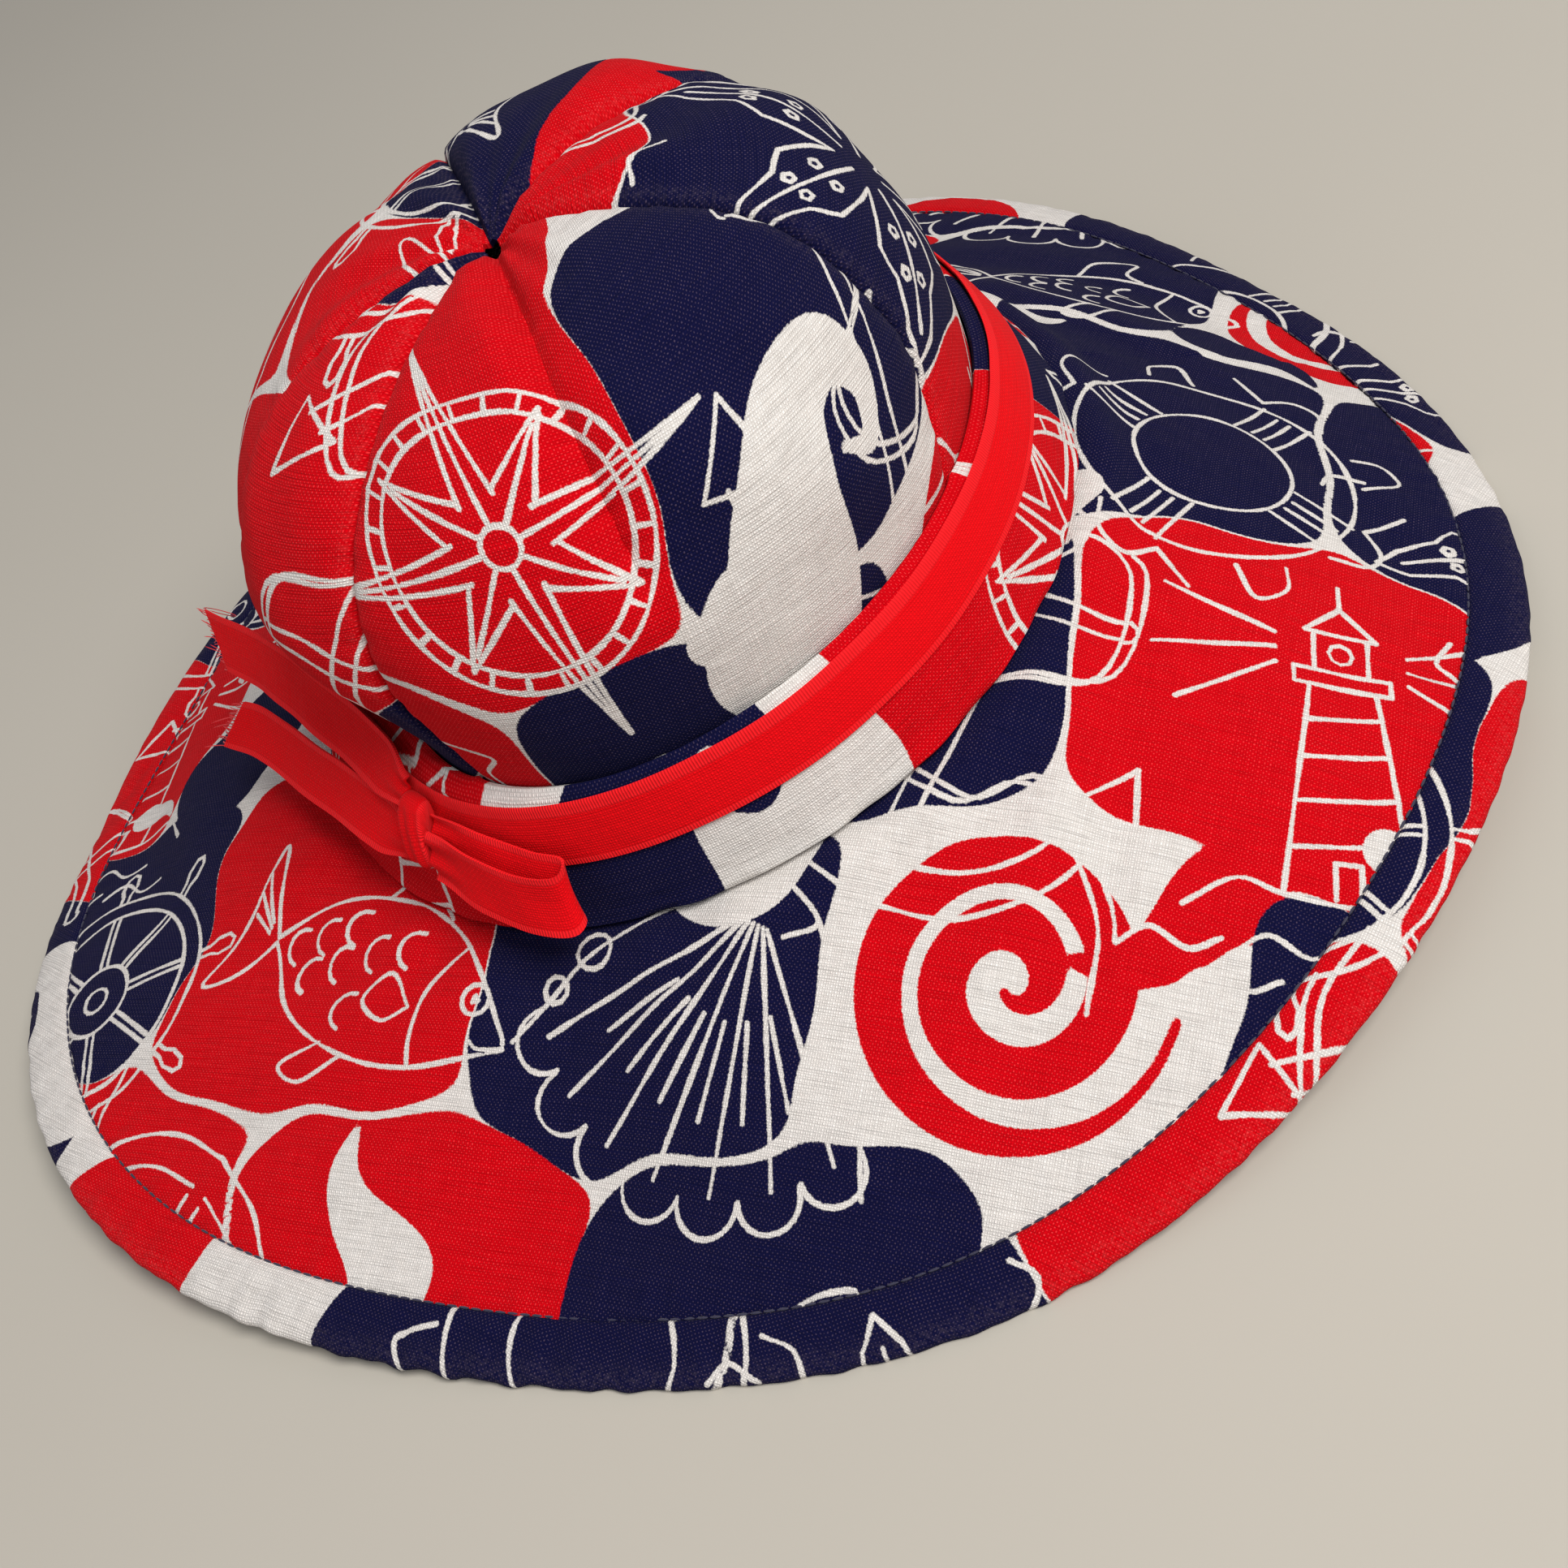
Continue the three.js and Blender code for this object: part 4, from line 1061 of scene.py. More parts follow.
def crown_piece(panel):
    name, first, last, _ = panel
    degrees = (seam_azimuth(last, np.array(0.5)) - seam_azimuth(first, np.array(0.5))) / RADIANS
    columns = max(24, int(degrees * 1.05) // 2 * 2)
    ease = np.linspace(0, 1, columns + 1)
    share = ease - CROWDING * np.sin(2 * math.pi * ease) / math.pi
    share, at = np.meshgrid(share, np.linspace(0, 1, CROWN_ROWS + 1), indexing="ij")
    start, end = seam_azimuth(first, at), seam_azimuth(last, at)
    if last - first > 1:
        middle = seam_azimuth(first + 1, at)
        before = start + (middle - start) * 2 * share
        after = middle + (end - middle) * (2 * share - 1)
        azimuth = np.where(share < 0.5, before, after)
    else:
        azimuth = start + (end - start) * share
    radius = CROWN_RADIUS * read(CROWN_PROFILE, 1, at)
    width = radius * (end - start)
    puff = crown_puff(panel, share, at) + crown_detail(panel, share, at, width, azimuth)
    skin = crown_base(azimuth, at, 0, puff)
    for column in skin[:, :CROWN_ROWS // 2]:
        x, y = (float(np.interp(LEDGE_HEIGHT, column[:, 2], column[:, k])) for k in (0, 1))
        crown_skin.append((math.atan2(y, x), math.hypot(x, y)))
    outer = from_foot(skin)
    inner = from_foot(crown_base(azimuth, at, CROWN_CLOTH, puff))
    centre = (seam_azimuth(first, 0 * at) + seam_azimuth(last, 0 * at)) / 2
    uv = placed(radius * (azimuth - centre), np.interp(at, ARC_AT, ARC_LENGTH), *CROWN_PRINT[name])
    wear = np.exp(-((np.minimum(share, 1 - share) * width - 2.4) / 1.6) ** 2)
    obj = make_mesh(name + "_cloth", shell(outer, inner, uv, uv, 1.0, wear=wear), CANVAS)
    return finish_piece(obj, [name])


crown_skin = []
for panel in PANELS:
    crown_piece(panel)


# Side band: one smooth section from the crown's seam out to the fold, up to the free edge and back

RING_COLUMNS = 420
BAND_PRINT, BAND_MIDDLE_RADIUS, RIBBON_RADIUS = (0, 12, 96), 97.0, 96.5


def smooth_path(points, count):
    """Evenly spaced points on a smooth line through a few (n, 2) points."""
    line = bent(*points)
    along = np.concatenate([[0], np.cumsum(np.hypot(*np.diff(line, axis=0).T))])
    at = np.linspace(0, along[-1], count)
    return points_at(line, along, at), at


def ring_piece(name, nodes, outline, place_uv, move, material, printed=True):
    """A closed section carried round the foot. move(azimuth, section, s) bends it; s runs along it."""
    section, along = outline
    azimuth = np.linspace(0, 2 * math.pi, RING_COLUMNS + 1)
    azimuth, s = np.meshgrid(azimuth, along, indexing="ij")
    radius = np.broadcast_to(section[:, 0], azimuth.shape)
    height = np.broadcast_to(section[:, 1], azimuth.shape)
    radius, height = move(azimuth, radius, height, s)
    points = from_foot(polar(azimuth, radius, height))
    points[-1] = points[0]
    points[:, -1] = points[:, 0]
    obj = make_mesh(name, [Patch(points, place_uv(azimuth, radius, s))], material, printed)
    return finish_piece(obj, nodes)


LEDGE_RADIUS = float(crown_reach(0.0, LEDGE_HEIGHT)) + 2 * GAP
CROWN_SKIN = np.array(sorted(crown_skin))


def skin_at(azimuth):
    """The crown's own radius under the ledge's inner edge."""
    turn = (azimuth + math.pi) % (2 * math.pi) - math.pi
    return np.interp(turn, CROWN_SKIN[:, 0], CROWN_SKIN[:, 1], period=2 * math.pi)


def band_section():
    t = BAND_CLOTH
    low = SEAM_LIFT
    r = round_band
    points = [
        (FOOT_RADIUS + GAP, low), (BAND_LOW_RADIUS - 6, low + 0.05), (BAND_LOW_RADIUS - 1.6, low + 0.3),
        (BAND_LOW_RADIUS - 0.2, low + 1.7), (r(5) + 0.2, 5), (r(12) + 0.4, 12), (r(22) + 0.1, 22),
        (r(29), 29), (BAND_TOP_RADIUS - 0.1, BAND_HEIGHT - 0.4), (BAND_TOP_RADIUS - 0.7, BAND_HEIGHT + 0.4),
        (LEDGE_RADIUS + 0.4, LEDGE_HEIGHT), (LEDGE_RADIUS, LEDGE_HEIGHT - t / 2),
        (LEDGE_RADIUS + 0.5, LEDGE_HEIGHT - t), (BAND_TOP_RADIUS - t - 0.4, BAND_HEIGHT - t),
        (r(22) - t, 22), (r(8) - t, 8),
        (BAND_LOW_RADIUS - 2.6, low + t + 1.0), (BAND_LOW_RADIUS - 6, low + t), (FOOT_RADIUS + GAP, low + t),
        (FOOT_RADIUS + GAP, low),
    ]
    return smooth_path(points, 76)


def band_move(azimuth, radius, height, s):
    up = np.clip(height / BAND_HEIGHT, 0, 1)
    sway = ripple(azimuth, (0.25, 5), (0.2, 9)) * up * (1 - up)
    fold = np.exp(-(((radius - BAND_LOW_RADIUS) / 3) ** 2) - ((height / 4) ** 2))
    inside = np.clip((BAND_TOP_RADIUS - radius) / (BAND_TOP_RADIUS - LEDGE_RADIUS), 0, 1)
    ledge = inside * smooth((height - 26) / 4)
    cinch = BAND_CINCH * cinch_at(azimuth, np.minimum(height, BAND_HEIGHT)) * (1 - ledge)
    inward = ledge * (skin_at(azimuth) + GAP - LEDGE_RADIUS)
    radius = radius + sway + fold * ripple(azimuth, (0.3, 23), (0.2, 41)) - cinch + inward
    return radius, height + fold * ripple(azimuth, (0.12, 19))


ring_piece(
    "side_band_cloth", ["side_band"], band_section(),
    lambda azimuth, radius, s: placed(BAND_MIDDLE_RADIUS * azimuth, s, *BAND_PRINT), band_move, CANVAS,
)


# Tape round the top of the band

def ribbon_section():
    top, low = BAND_HEIGHT + 0.3, BAND_HEIGHT + 0.3 - TAPE_WIDTH
    t = TAPE_CLOTH
    r = lambda height: round_band(height) + GAP
    points = [
        (r(low) + 0.1, low), (r(low) + t * 0.8, low - 0.05), (r(low + 1) + t, low + 1),
        (r(low + 7) + t * 1.2, low + 7), (r(top - 1) + t, top - 1), (r(top) + t * 0.8, top + 0.05),
        (r(top) + 0.1, top), (r(low + 7) + 0.05, low + 7), (r(low) + 0.1, low),
    ]
    return smooth_path(points, 40)


def ribbon_move(azimuth, radius, height, s):
    up = (height - BAND_HEIGHT + TAPE_WIDTH) / TAPE_WIDTH
    radius = radius + 0.12 * np.abs(ripple(azimuth, (1.0, 7), (0.6, 13))) * up
    cinch = BAND_CINCH * cinch_at(azimuth, np.minimum(height, BAND_HEIGHT))
    return radius - cinch, height + ripple(azimuth, (0.2, 6), (0.12, 15))


def ribbon_uv(azimuth, radius, s):
    across = np.where(s < s.max() / 2, s - 0.8 - TAPE_WIDTH / 2, s.max() - s - 0.8 - TAPE_WIDTH / 2)
    return np.stack([RIBBON_RADIUS * azimuth, across], -1)


ring_piece(
    "ribbon_band_tape", ["ribbon_band"], ribbon_section(), ribbon_uv, ribbon_move, TAPE,
    printed=False,
)


# Brim

BRIM_INSIDE = FOOT_RADIUS - 2.4
BRIM_COLUMNS, BRIM_ROWS, BRIM_ROWS_UNDER = 720, 86, 44
SEAM_RADIUS, GATHER_RADIUS = BRIM_RADIUS - HEM_WIDTH, BRIM_RADIUS - 4.0
# Turn and place of the print on each side of the brim and on the hem strip; the azimuth of the cloth's grain
BRIM_PRINT, UNDER_PRINT, HEM_PRINT, GRAIN = (0, 196, 150), (90, 60, 20), (14, 250, 40), -38.6


def brim_edge(azimuth):
    radius = BRIM_RADIUS + 0 * azimuth
    height = EDGE_HEIGHT + HEM_CLOTH + 0 * azimuth
    for count, rc, rs, hc, hs in EDGE_WAVES:
        c, s = np.cos(count * azimuth), np.sin(count * azimuth)
        radius = radius + rc * c + rs * s
        height = height + hc * c + hs * s
    return polar(azimuth, radius, height)


def brim_top(azimuth, at):
    azimuth, at = np.broadcast_arrays(azimuth, at)
    start = from_foot(polar(azimuth, BRIM_INSIDE + 0 * azimuth, 0))
    end = brim_edge(azimuth)
    flat = from_foot(polar(azimuth, BRIM_INSIDE + (BAND_LOW_RADIUS - BRIM_INSIDE) * at / BRIM_FLAT, 0))
    point = start + (end - start) * at[..., None]
    point[..., 2] = start[..., 2] + (end[..., 2] - start[..., 2]) * read(BRIM_PROFILE, 1, at)
    hold = np.where(at < 0.3, 1 - smooth((at - 0.13) / 0.17), 0)[..., None]
    point = point + (flat - point) * hold
    for middle, at_middle, span, span_at, rise in BRIM_DENTS:
        turn = (azimuth / RADIANS - middle + 180) % 360 - 180
        bell = np.exp(-((turn / span) ** 2) - ((at - at_middle) / span_at) ** 2)
        point[..., 2] += rise * bell * smooth((at - 0.18) / 0.15)
    return point


def hem_start(azimuth):
    a, b = brim_top(azimuth, 0.8), brim_top(azimuth, 1.0)
    return 1 - 0.2 * HEM_WIDTH / np.linalg.norm(a - b, axis=-1)


def brim_detail(azimuth, at, from_hem):
    """Puckers along the stitched line, soft creases that run out from the band, a little sag."""
    arc_mm = azimuth * SEAM_RADIUS
    pucker = np.exp(-from_hem / 7) * ripple(arc_mm, (0.22, 0.62), (0.18, 0.97), (0.12, 1.5))
    groove = -0.6 * np.exp(-((from_hem / 1.3) ** 2))
    rays = np.exp(-((at - 0.26) / 0.14) ** 2) * ripple(azimuth, (0.32, 31), (0.3, 19))
    between = smooth((at - 0.2) / 0.2) * smooth((1 - at) / 0.25)
    sag = between * ripple(azimuth + 1.7 * at, (0.8, 7), (0.65, 11), (0.4, 17))
    return pucker + groove + rays + sag


def flat_ring(radius, azimuth, placement):
    """The cloth's coordinates on a piece that is cut as one flat ring."""
    turn = azimuth - GRAIN * RADIANS
    return placed(radius * np.cos(turn), radius * np.sin(turn), *placement)


def brim_uv(points, azimuth, placement):
    """The brim is cut as one flat ring, so its own radius is measured along the cloth."""
    across = np.linalg.norm(np.diff(points, axis=1), axis=-1)
    radius = BRIM_INSIDE + np.concatenate([np.zeros((len(points), 1)), np.cumsum(across, axis=1)], 1)
    return flat_ring(radius, azimuth, placement)


def brim_piece():
    azimuth = -np.linspace(0, 2 * math.pi, BRIM_COLUMNS + 1)[:, None]
    end = hem_start(azimuth) + 0.5 / (BRIM_RADIUS - BRIM_INSIDE)

    def face(count):
        at = np.linspace(0, 1, count + 1)[None] * end
        points = brim_top(azimuth, at)
        points[..., 2] += brim_detail(azimuth, at, (end - at) * (BRIM_RADIUS - BRIM_INSIDE))
        points[-1] = points[0]
        return points

    top, under = face(BRIM_ROWS), face(BRIM_ROWS_UNDER)
    under[..., 2] = np.maximum(under[..., 2] - BRIM_CLOTH, PRESS + 0.1)
    uv, uv_under = brim_uv(top, azimuth, BRIM_PRINT), brim_uv(under, azimuth, UNDER_PRINT)
    obj = make_mesh("brim_cloth", shell(top, under, uv, uv_under, 0.0, ring=True), CANVAS)
    return finish_piece(obj, ["brim"])


def hem_section(azimuth):
    """Points of the folded edge strip for each azimuth: (n, k, 3), and how far along the strip each is."""
    t, w = HEM_CLOTH, HEM_WIDTH
    outline = [
        (0.0, -BRIM_CLOTH), (-0.1, -0.7), (0.5, 0.15), (2.2, 0.75), (5, 0.95), (9, 0.85), (w - 3, 0.6),
        (w - 1, 0.1), (w - 0.1, -0.8), (w - 0.3, 0.9 - t), (w - 1.5, 0.35 - t), (w - 4, 0.2 - t),
        (5, 0.3 - t), (1.5, 0.2 - BRIM_CLOTH), (0.0, -BRIM_CLOTH),
    ]
    section, along = smooth_path(outline, 44)
    at = hem_start(azimuth)
    start, end = brim_top(azimuth, at), brim_top(azimuth, 1.0)
    out = (end - start) / np.linalg.norm(end - start, axis=-1, keepdims=True)
    a, b = section[:, 0], section[:, 1]
    points = start[:, None] + out[:, None] * a[None, :, None]
    # Gathers stand up towards the outer edge, most on the tight front left side
    arc_mm = azimuth[:, None] * GATHER_RADIUS
    amount = (0.5 + 0.9 * np.exp(-((((azimuth / RADIANS + 125 + 180) % 360 - 180) / 35) ** 2)))[:, None]
    out_share = np.clip(a / w, 0, 1)[None]
    gather = amount * ripple(arc_mm, (0.30, 0.5), (0.22, 0.83), (0.12, 1.37)) * out_share ** 0.7
    points[..., 2] += b[None] + gather
    swell = amount * ripple(arc_mm, (0.25, 0.44), (0.2, 0.71)) * out_share
    points += out[:, None] * swell[..., None] * 0.8
    laid = np.where(b < -t / 2, 0.0, b + t - 0.3)[None]
    points[..., 2] = np.maximum(points[..., 2], PRESS + np.maximum(laid, 0))
    return points, along


def hem_piece():
    azimuth = np.linspace(0, 2 * math.pi, BRIM_COLUMNS + 1)
    points, along = hem_section(azimuth)
    points[-1] = points[0]
    points[:, -1] = points[:, 0]
    radius = BRIM_RADIUS - HEM_WIDTH + along[None]
    uv = flat_ring(radius, azimuth[:, None], HEM_PRINT)
    wear = np.exp(-(((along - 0.46 * along[-1]) / 3.0) ** 2))
    obj = make_mesh("brim_hem_cloth", [Patch(points, uv, wear=wear[None])], CANVAS)
    return finish_piece(obj, ["brim_hem"])


brim_piece()
hem_piece()


# Bow

# seed, count of threads
UPPER_FRAY, LOWER_FRAY = (11, 34), (12, 30)
FRAY_RADIUS, LONG_THREAD_RADIUS = 0.13, 0.12


def tape_frame(path, way, lean, square):
    """Middle line of a tape that leaves the knot's side, with its directions and the length run.

    A tape that isn't kept square to its line folds over along one slanted direction.
    """
    side = KNOT_AZIMUTH * RADIANS + way * (KNOT_WIDTH / 2 + 2 * GAP) / BAND_TOP_RADIUS
    rows = np.array(path, float)
    azimuth, height = side + way * rows[:, 0] * RADIANS, rows[:, 2] * BAND_HEIGHT
    knots = polar(azimuth, band_radius(azimuth, height) + rows[:, 1], height)
    line = centripetal(knots)
    along = run_along(line)
    at = np.linspace(0, along[-1], int(along[-1]) + 1)
    centre = points_at(line, along, at)
    forward = np.gradient(centre, axis=0)
    for _ in range(4):
        forward[1:-1] = (forward[:-2] + 2 * forward[1:-1] + forward[2:]) / 4
    forward /= np.linalg.norm(forward, axis=1, keepdims=True)
    out = centre * (1, 1, 0)
    out /= np.linalg.norm(out, axis=1, keepdims=True)
    up = np.array([0, 0, math.cos(lean * RADIANS)]) - out * math.sin(lean * RADIANS)
    if square:
        up -= forward * (up * forward).sum(1, keepdims=True)
    up /= np.linalg.norm(up, axis=1, keepdims=True)
    normal = np.cross(forward, up)
    normal /= np.linalg.norm(normal, axis=1, keepdims=True)
    return centre, forward, up, normal, at


def centripetal(points, steps=14):
    """The same kind of curve as the solids' tapes follow."""
    p = np.vstack([2 * points[0] - points[1], points, 2 * points[-1] - points[-2]])
    out = []
    for a, b, c, d in zip(p, p[1:], p[2:], p[3:]):
        t0 = 0.0
        t1 = t0 + np.linalg.norm(b - a) ** 0.5
        t2 = t1 + np.linalg.norm(c - b) ** 0.5
        t3 = t2 + np.linalg.norm(d - c) ** 0.5
        t = np.linspace(t1, t2, steps + 1)[:-1, None]
        ab = (t1 - t) / (t1 - t0) * a + (t - t0) / (t1 - t0) * b
        bc = (t2 - t) / (t2 - t1) * b + (t - t1) / (t2 - t1) * c
        cd = (t3 - t) / (t3 - t2) * c + (t - t2) / (t3 - t2) * d
        abc = (t2 - t) / (t2 - t0) * ab + (t - t0) / (t2 - t0) * bc
        bcd = (t3 - t) / (t3 - t1) * bc + (t - t1) / (t3 - t1) * cd
        out.append((t2 - t) / (t2 - t1) * abc + (t - t1) / (t2 - t1) * bcd)
    return np.vstack([*out, points[-1:]])


def tape_piece(node, path, way, lean, slant, pinch_end):
    """A tape swept along its line: pinched at the knot, cupped and wavy in its run."""
    centre, forward, up, normal, at = tape_frame(path, way, lean, not pinch_end)
    share = at / at[-1]
    across = np.linspace(-1, 1, 17)
    half = TAPE_WIDTH / 2
    from_knot = np.minimum(at, at[-1] - at) if pinch_end else at
    near_knot = 1 - smooth(from_knot / PINCH_RUN)
    width = half * (1 - KNOT_PINCH * near_knot * (0.35 if pinch_end else 1))
    cup = 0.55 * np.cos(across * math.pi / 2)[None] * (0.4 + 0.6 * np.sin(3 * share + 0.5))[:, None]
    pleat = near_knot[:, None] * 0.7 * np.sin(across * 6.5)[None]
    wave = 0.25 * np.sin(at / 4.1)[:, None] * across[None] ** 2
    rise = cup + pleat + wave
    cut = slant * (share ** 2)[:, None] * across[None] / 2
    faces = []
    for layer in (1, -1):
        offset = rise + layer * TAPE_CLOTH * 0.35
        p = (centre[:, None] + up[:, None] * (width[:, None] * across[None])[..., None]
             + forward[:, None] * cut[..., None] + normal[:, None] * offset[..., None])
        faces.append(from_foot(p))
    uv = np.stack(np.broadcast_arrays(at[:, None] + 40 * way, across[None] * half), -1)
    patches = shell(faces[0], faces[1], uv, uv, 0.0)
    obj = make_mesh(node + "_tape", patches, TAPE, False)
    finish_piece(obj, [node])
    return obj, at[-1], faces, forward, normal


def knot_piece():
    """The tape wrapped once over the bow: a bulging closed wrap with two soft folds."""
    middle = KNOT_AZIMUTH * RADIANS
    height = BAND_HEIGHT - TAPE_WIDTH / 2 + 1.5
    turn = np.linspace(0, 2 * math.pi, 49)[:, None]
    across = np.linspace(-1, 1, 25)[None]
    round_off = (1 - np.abs(across) ** 3.2) ** 0.45
    fold = 1 + 0.09 * np.sin(across * 6.3 + 0.8 * np.sin(turn)) * (np.cos(turn) > -0.3)
    depth, tall = 7.8, KNOT_HEIGHT
    c, s = np.cos(turn), np.sin(turn)
    bulge = np.sign(c) * np.abs(c) ** 0.75 * (0.72 + 0.28 * round_off) * np.where(c > 0, fold, 1)
    out = depth / 2 * (1 + bulge)
    up = tall / 2 * np.sign(s) * np.abs(s) ** 0.8 * (0.80 + 0.20 * round_off)
    side = across * KNOT_WIDTH / 2 * (0.93 + 0.07 * np.abs(s))
    azimuth = middle + side / BAND_TOP_RADIUS + 0 * up
    back = band_radius(azimuth, height + up) + 2 * GAP + TAPE_CLOTH * 1.2
    points = from_foot(polar(azimuth, back + 0.1 + np.maximum(out, 0.05), height + up))
    points[-1] = points[0]
    uv = np.stack(np.broadcast_arrays(turn * 6.4, across * TAPE_WIDTH / 2), -1)
    patches = [Patch(points[:, ::-1], uv[:, ::-1])]
    for edge, order in ((0, 1), (-1, -1)):
        ring = points[:, edge]
        hub = np.broadcast_to(ring[:-1].mean(0), ring.shape)
        steps = (ring, ring * 0.5 + hub * 0.5, ring * 0.05 + hub * 0.95)
        patches.append(Patch(np.stack(steps[::order], 1), np.stack([uv[:, edge]] * 3, 1)))
    obj = make_mesh("bow_knot_tape", patches, TAPE, False)
    return finish_piece(obj, ["bow_knot"])


def tube(points, radius, sides=5):
    """A thin thread along points, closed at both ends."""
    forward = np.gradient(points, axis=0)
    forward /= np.linalg.norm(forward, axis=1, keepdims=True)
    reference = np.array([0.31, 0.53, 0.79])
    a = np.cross(forward, reference)
    a /= np.linalg.norm(a, axis=1, keepdims=True)
    b = np.cross(forward, a)
    angle = np.linspace(0, 2 * math.pi, sides + 1)
    taper = np.ones(len(points))
    taper[0] = taper[-1] = 0.05
    ring = (np.cos(angle)[None, :, None] * a[:, None] + np.sin(angle)[None, :, None] * b[:, None])
    grid = points[:, None] + ring * (radius * taper)[:, None, None]
    grid[:, -1] = grid[:, 0]
    return Patch(grid, np.zeros((*grid.shape[:2], 2)))


def fray_patches(faces, forward, normal, seed, count):
    """Loose thread ends along a tape's cut end."""
    rng = np.random.default_rng(seed)
    edge = (faces[0][-1] + faces[1][-1]) / 2
    ahead = FOOT_TURN @ forward[-1]
    off = FOOT_TURN @ normal[-1]
    side = edge[-1] - edge[0]
    side /= np.linalg.norm(side)
    patches = []
    for k in range(count):
        at = (k + rng.uniform(0.1, 0.9)) / count * (len(edge) - 1)
        i = int(at)
        root = edge[i] + (edge[min(i + 1, len(edge) - 1)] - edge[i]) * (at - i)
        length = rng.uniform(1.2, 4.2) * (1.4 if k % 5 == 0 else 1)
        t = np.linspace(-0.25, 1, 8)[:, None]
        drift = side * rng.uniform(-0.5, 0.5) + off * rng.uniform(-0.5, 0.6)
        bend = side * rng.uniform(-0.5, 0.5) + off * rng.uniform(-0.5, 0.5)
        line = root + length * (t * (ahead + 0.5 * drift) + np.maximum(t, 0) ** 2 * bend * 0.8)
        patches.append(tube(line, FRAY_RADIUS))
    return patches


knot_piece()
loop, loop_length, *_ = tape_piece("bow_loop", LOOP_PATH, 1, LOOP_LEAN, 0, True)
upper, upper_length, *upper_end = tape_piece(
    "bow_tail_upper", TAIL_UPPER_PATH, -1, TAIL_LEAN, TAIL_CUT, False,
)
lower, lower_length, *lower_end = tape_piece(
    "bow_tail_lower", TAIL_LOWER_PATH, -1, TAIL_LEAN, -TAIL_CUT, False,
)


def add_fray():
    """The loose threads of both tails, and one long thread that curls off the upper tail's corner."""
    patches = fray_patches(*upper_end, *UPPER_FRAY) + fray_patches(*lower_end, *LOWER_FRAY)
    corner = (upper_end[0][0][-1, -1] + upper_end[0][1][-1, -1]) / 2
    t = np.linspace(0, 1, 26)[:, None]
    ahead, off = FOOT_TURN @ upper_end[1][-1], FOOT_TURN @ upper_end[2][-1]
    ring = 4.2 * (np.sin(5.6 * t) * ahead + (1 - np.cos(5.6 * t)) * (0.8 * off + np.array([0, 0, -0.5])))
    patches.append(tube(corner + 3 * t * ahead + ring, LONG_THREAD_RADIUS))
    obj = make_mesh("bow_fray_threads", patches, RED_THREAD, False)
    return finish_piece(obj, [])


add_fray()


# Stitches: one small stitch repeated by a geometry node tree along points that carry their directions

STITCH_PITCH, STITCH_LENGTH, STITCH_THICKNESS = 2.9, 2.5, 0.55


def stitch_tree():
    """One small stitch on every point, turned along the direction that the point carries."""
    tree = bpy.data.node_groups.new("stitches", "GeometryNodeTree")
    sockets = [
        tree.interface.new_socket(name=name, in_out="INPUT", socket_type="NodeSocket" + kind)
        for name, kind in (
            ("Geometry", "Geometry"), ("Stitch length", "Float"), ("Thread thickness", "Float"),
            ("Thread", "Material"),
        )
    ]
    tree.interface.new_socket(name="Geometry", in_out="OUTPUT", socket_type="NodeSocketGeometry")
    source = add(tree, "NodeGroupInput").outputs
    thick = source["Thread thickness"]
    points = add(tree, "GeometryNodeMeshToPoints", {"Mesh": source["Geometry"]})
    ball = add(tree, "GeometryNodeMeshUVSphere", {"Segments": 8, "Rings": 6, "Radius": 0.5})
    ball = add(tree, "GeometryNodeSetShadeSmooth", {0: ball})
    size = add(tree, "ShaderNodeCombineXYZ", {"X": thick, "Y": thick, "Z": source["Stitch length"]})
    stitch = add(tree, "GeometryNodeTransform", {"Geometry": ball, "Scale": size})
    along = add(tree, "GeometryNodeInputNamedAttribute", {"Name": "along"}, data_type="FLOAT_VECTOR")
    turn = add(tree, "FunctionNodeAlignRotationToVector", {"Vector": along}, axis="Z")
    row = add(tree, "GeometryNodeInstanceOnPoints", {"Points": points, "Instance": stitch, "Rotation": turn})
    row = add(tree, "GeometryNodeRealizeInstances", {0: row})
    row = add(tree, "GeometryNodeSetMaterial", {"Geometry": row, "Material": source["Thread"]})
    add(tree, "NodeGroupOutput", {0: row})
    return tree, [socket.identifier for socket in sockets[1:]]


STITCH_TREE, STITCH_INPUTS = stitch_tree()


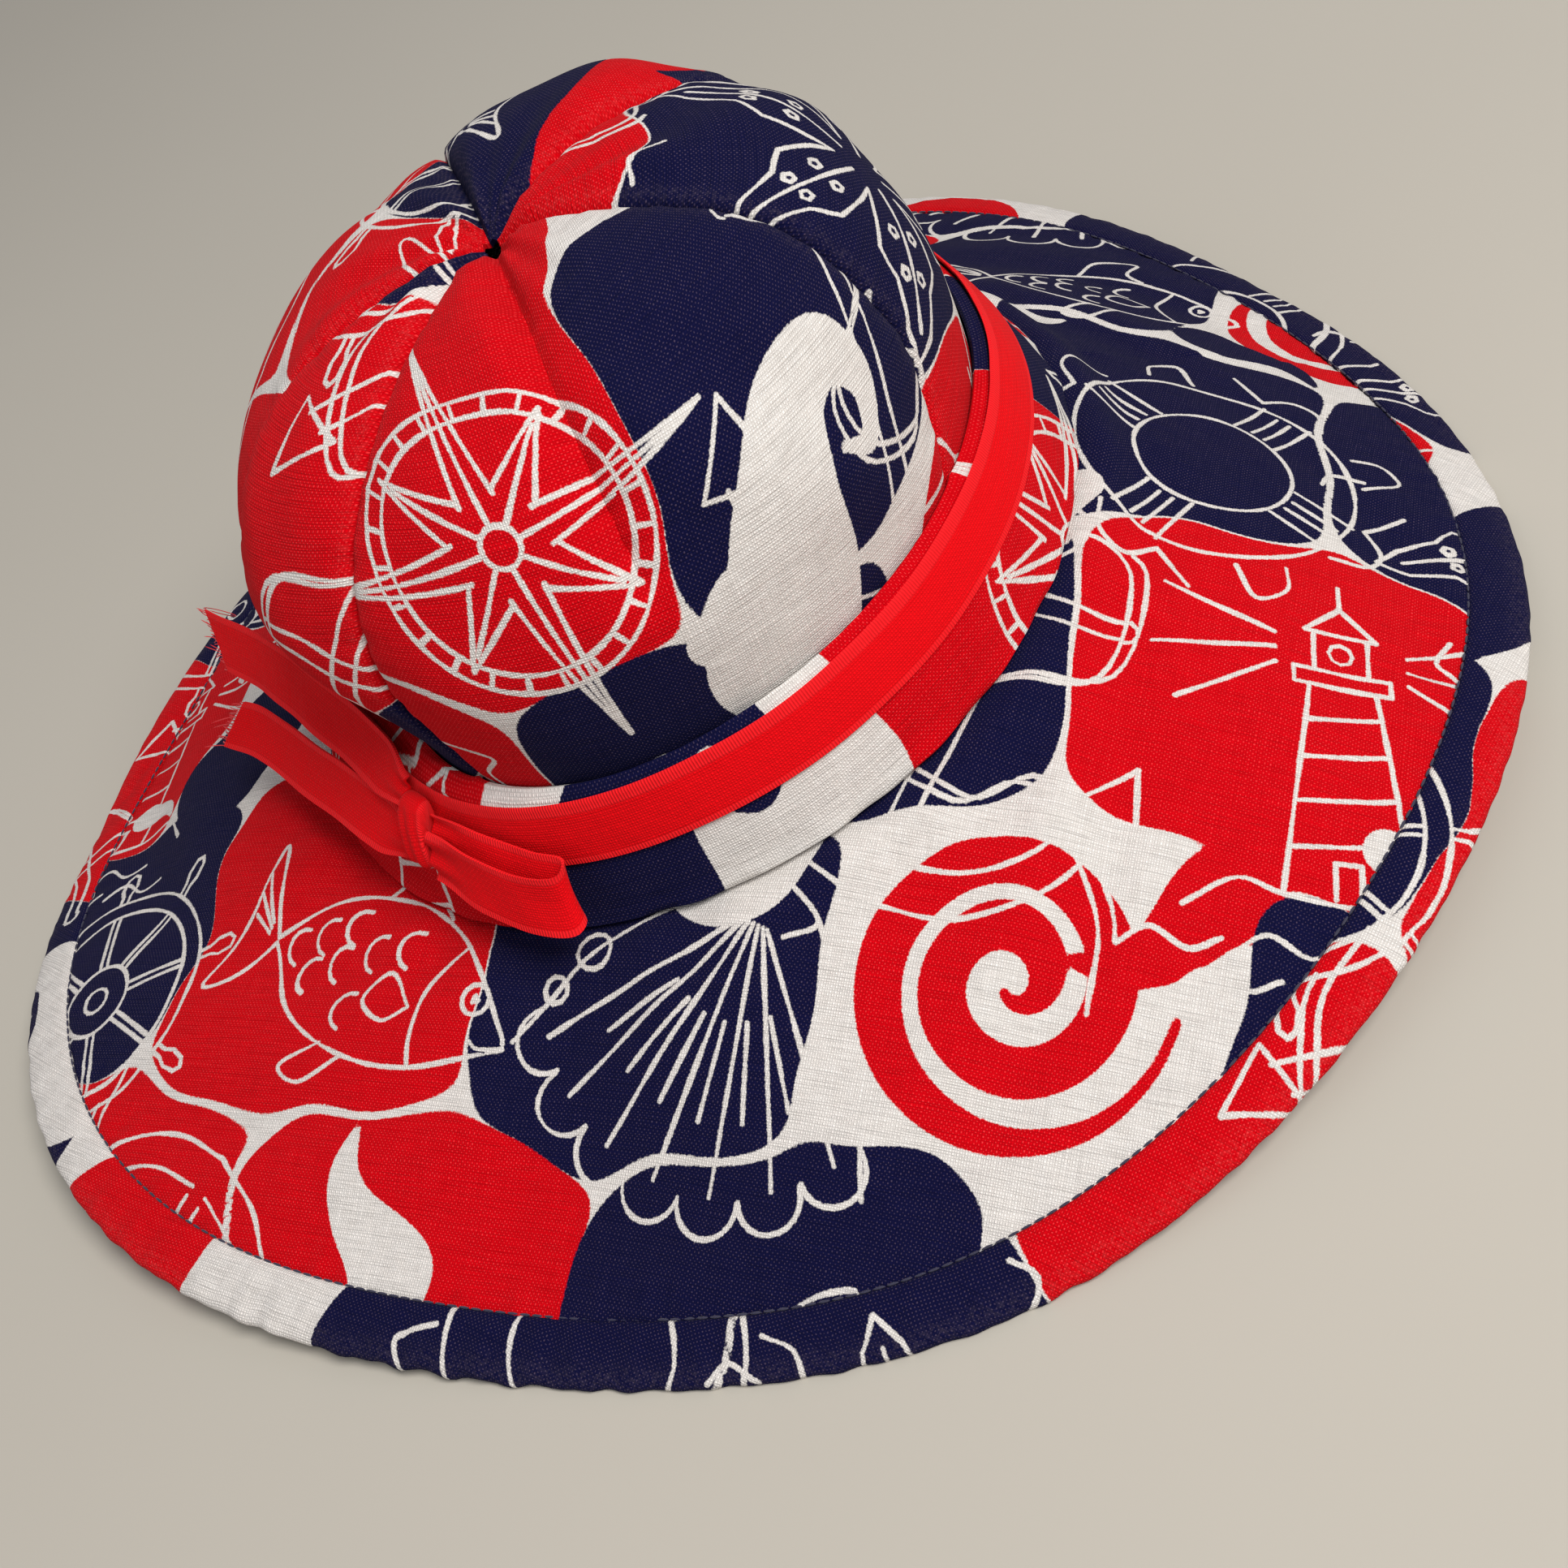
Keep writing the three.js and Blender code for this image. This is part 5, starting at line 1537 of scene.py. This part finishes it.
def stitch_row(name, line, thread):
    """Stitches of one length along a closed line given in the hat's own mm."""
    line = np.vstack([line, line[:1]])
    along = run_along(line)
    count = round(along[-1] / STITCH_PITCH)
    at = (np.arange(count) + 0.5) / count * along[-1]
    before, middle, after = (points_at(line, along, at + step) for step in (-0.5, 0, 0.5))
    ahead = after - before
    ahead /= np.linalg.norm(ahead, axis=1, keepdims=True)
    mesh = bpy.data.meshes.new(name + "_points")
    mesh.from_pydata(to_row(middle).tolist(), [], [])
    put(mesh, "along", "POINT", ahead)
    source = bpy.data.objects.new(name + "_points", mesh)
    bpy.context.collection.objects.link(source)
    modifier = source.modifiers.new("stitches", "NODES")
    modifier.node_group = STITCH_TREE
    for identifier, value in zip(STITCH_INPUTS, (STITCH_LENGTH / 1000, STITCH_THICKNESS / 1000, thread)):
        modifier[identifier] = value
    bpy.context.view_layer.update()
    made = bpy.data.meshes.new_from_object(source.evaluated_get(bpy.context.evaluated_depsgraph_get()))
    bpy.data.objects.remove(source)
    made.name = name
    obj = bpy.data.objects.new(name, made)
    bpy.context.collection.objects.link(obj)
    return finish_piece(obj, [])


azimuth = np.linspace(0, 2 * math.pi, BRIM_COLUMNS + 1)[:-1]
stitch_row("hem_stitches", brim_top(azimuth, hem_start(azimuth)), NAVY_THREAD)


# Floor

FLOOR_HALF = 4


def floor_material():
    """Matt painted table top in a warm grey: it takes a soft shadow and shows no gloss."""
    material, tree = new_material("matt_floor")
    place = add(tree, "ShaderNodeTexCoord").outputs["Object"]
    colour = add(tree, NOISE, {"Vector": place, "Scale": 3.0})
    colour = add(tree, MIX, {0: colour, 6: linear(FLOOR_DARK), 7: linear(FLOOR_LIGHT)}, data_type="RGBA")
    shader = add(tree, "ShaderNodeBsdfPrincipled", {
        "Base Color": colour, "Roughness": 0.9, "Specular IOR Level": 0.2,
    })
    add(tree, "ShaderNodeOutputMaterial", {0: shader})
    return material


floor_mesh = bpy.data.meshes.new("floor")
corners = [(x * FLOOR_HALF, y * FLOOR_HALF, 0) for x, y in ((-1, -1), (1, -1), (1, 1), (-1, 1))]
floor_mesh.from_pydata(corners, [], [(0, 1, 2, 3)])
floor_mesh.materials.append(floor_material())
floor = bpy.data.objects.new("floor", floor_mesh)
bpy.context.collection.objects.link(floor)
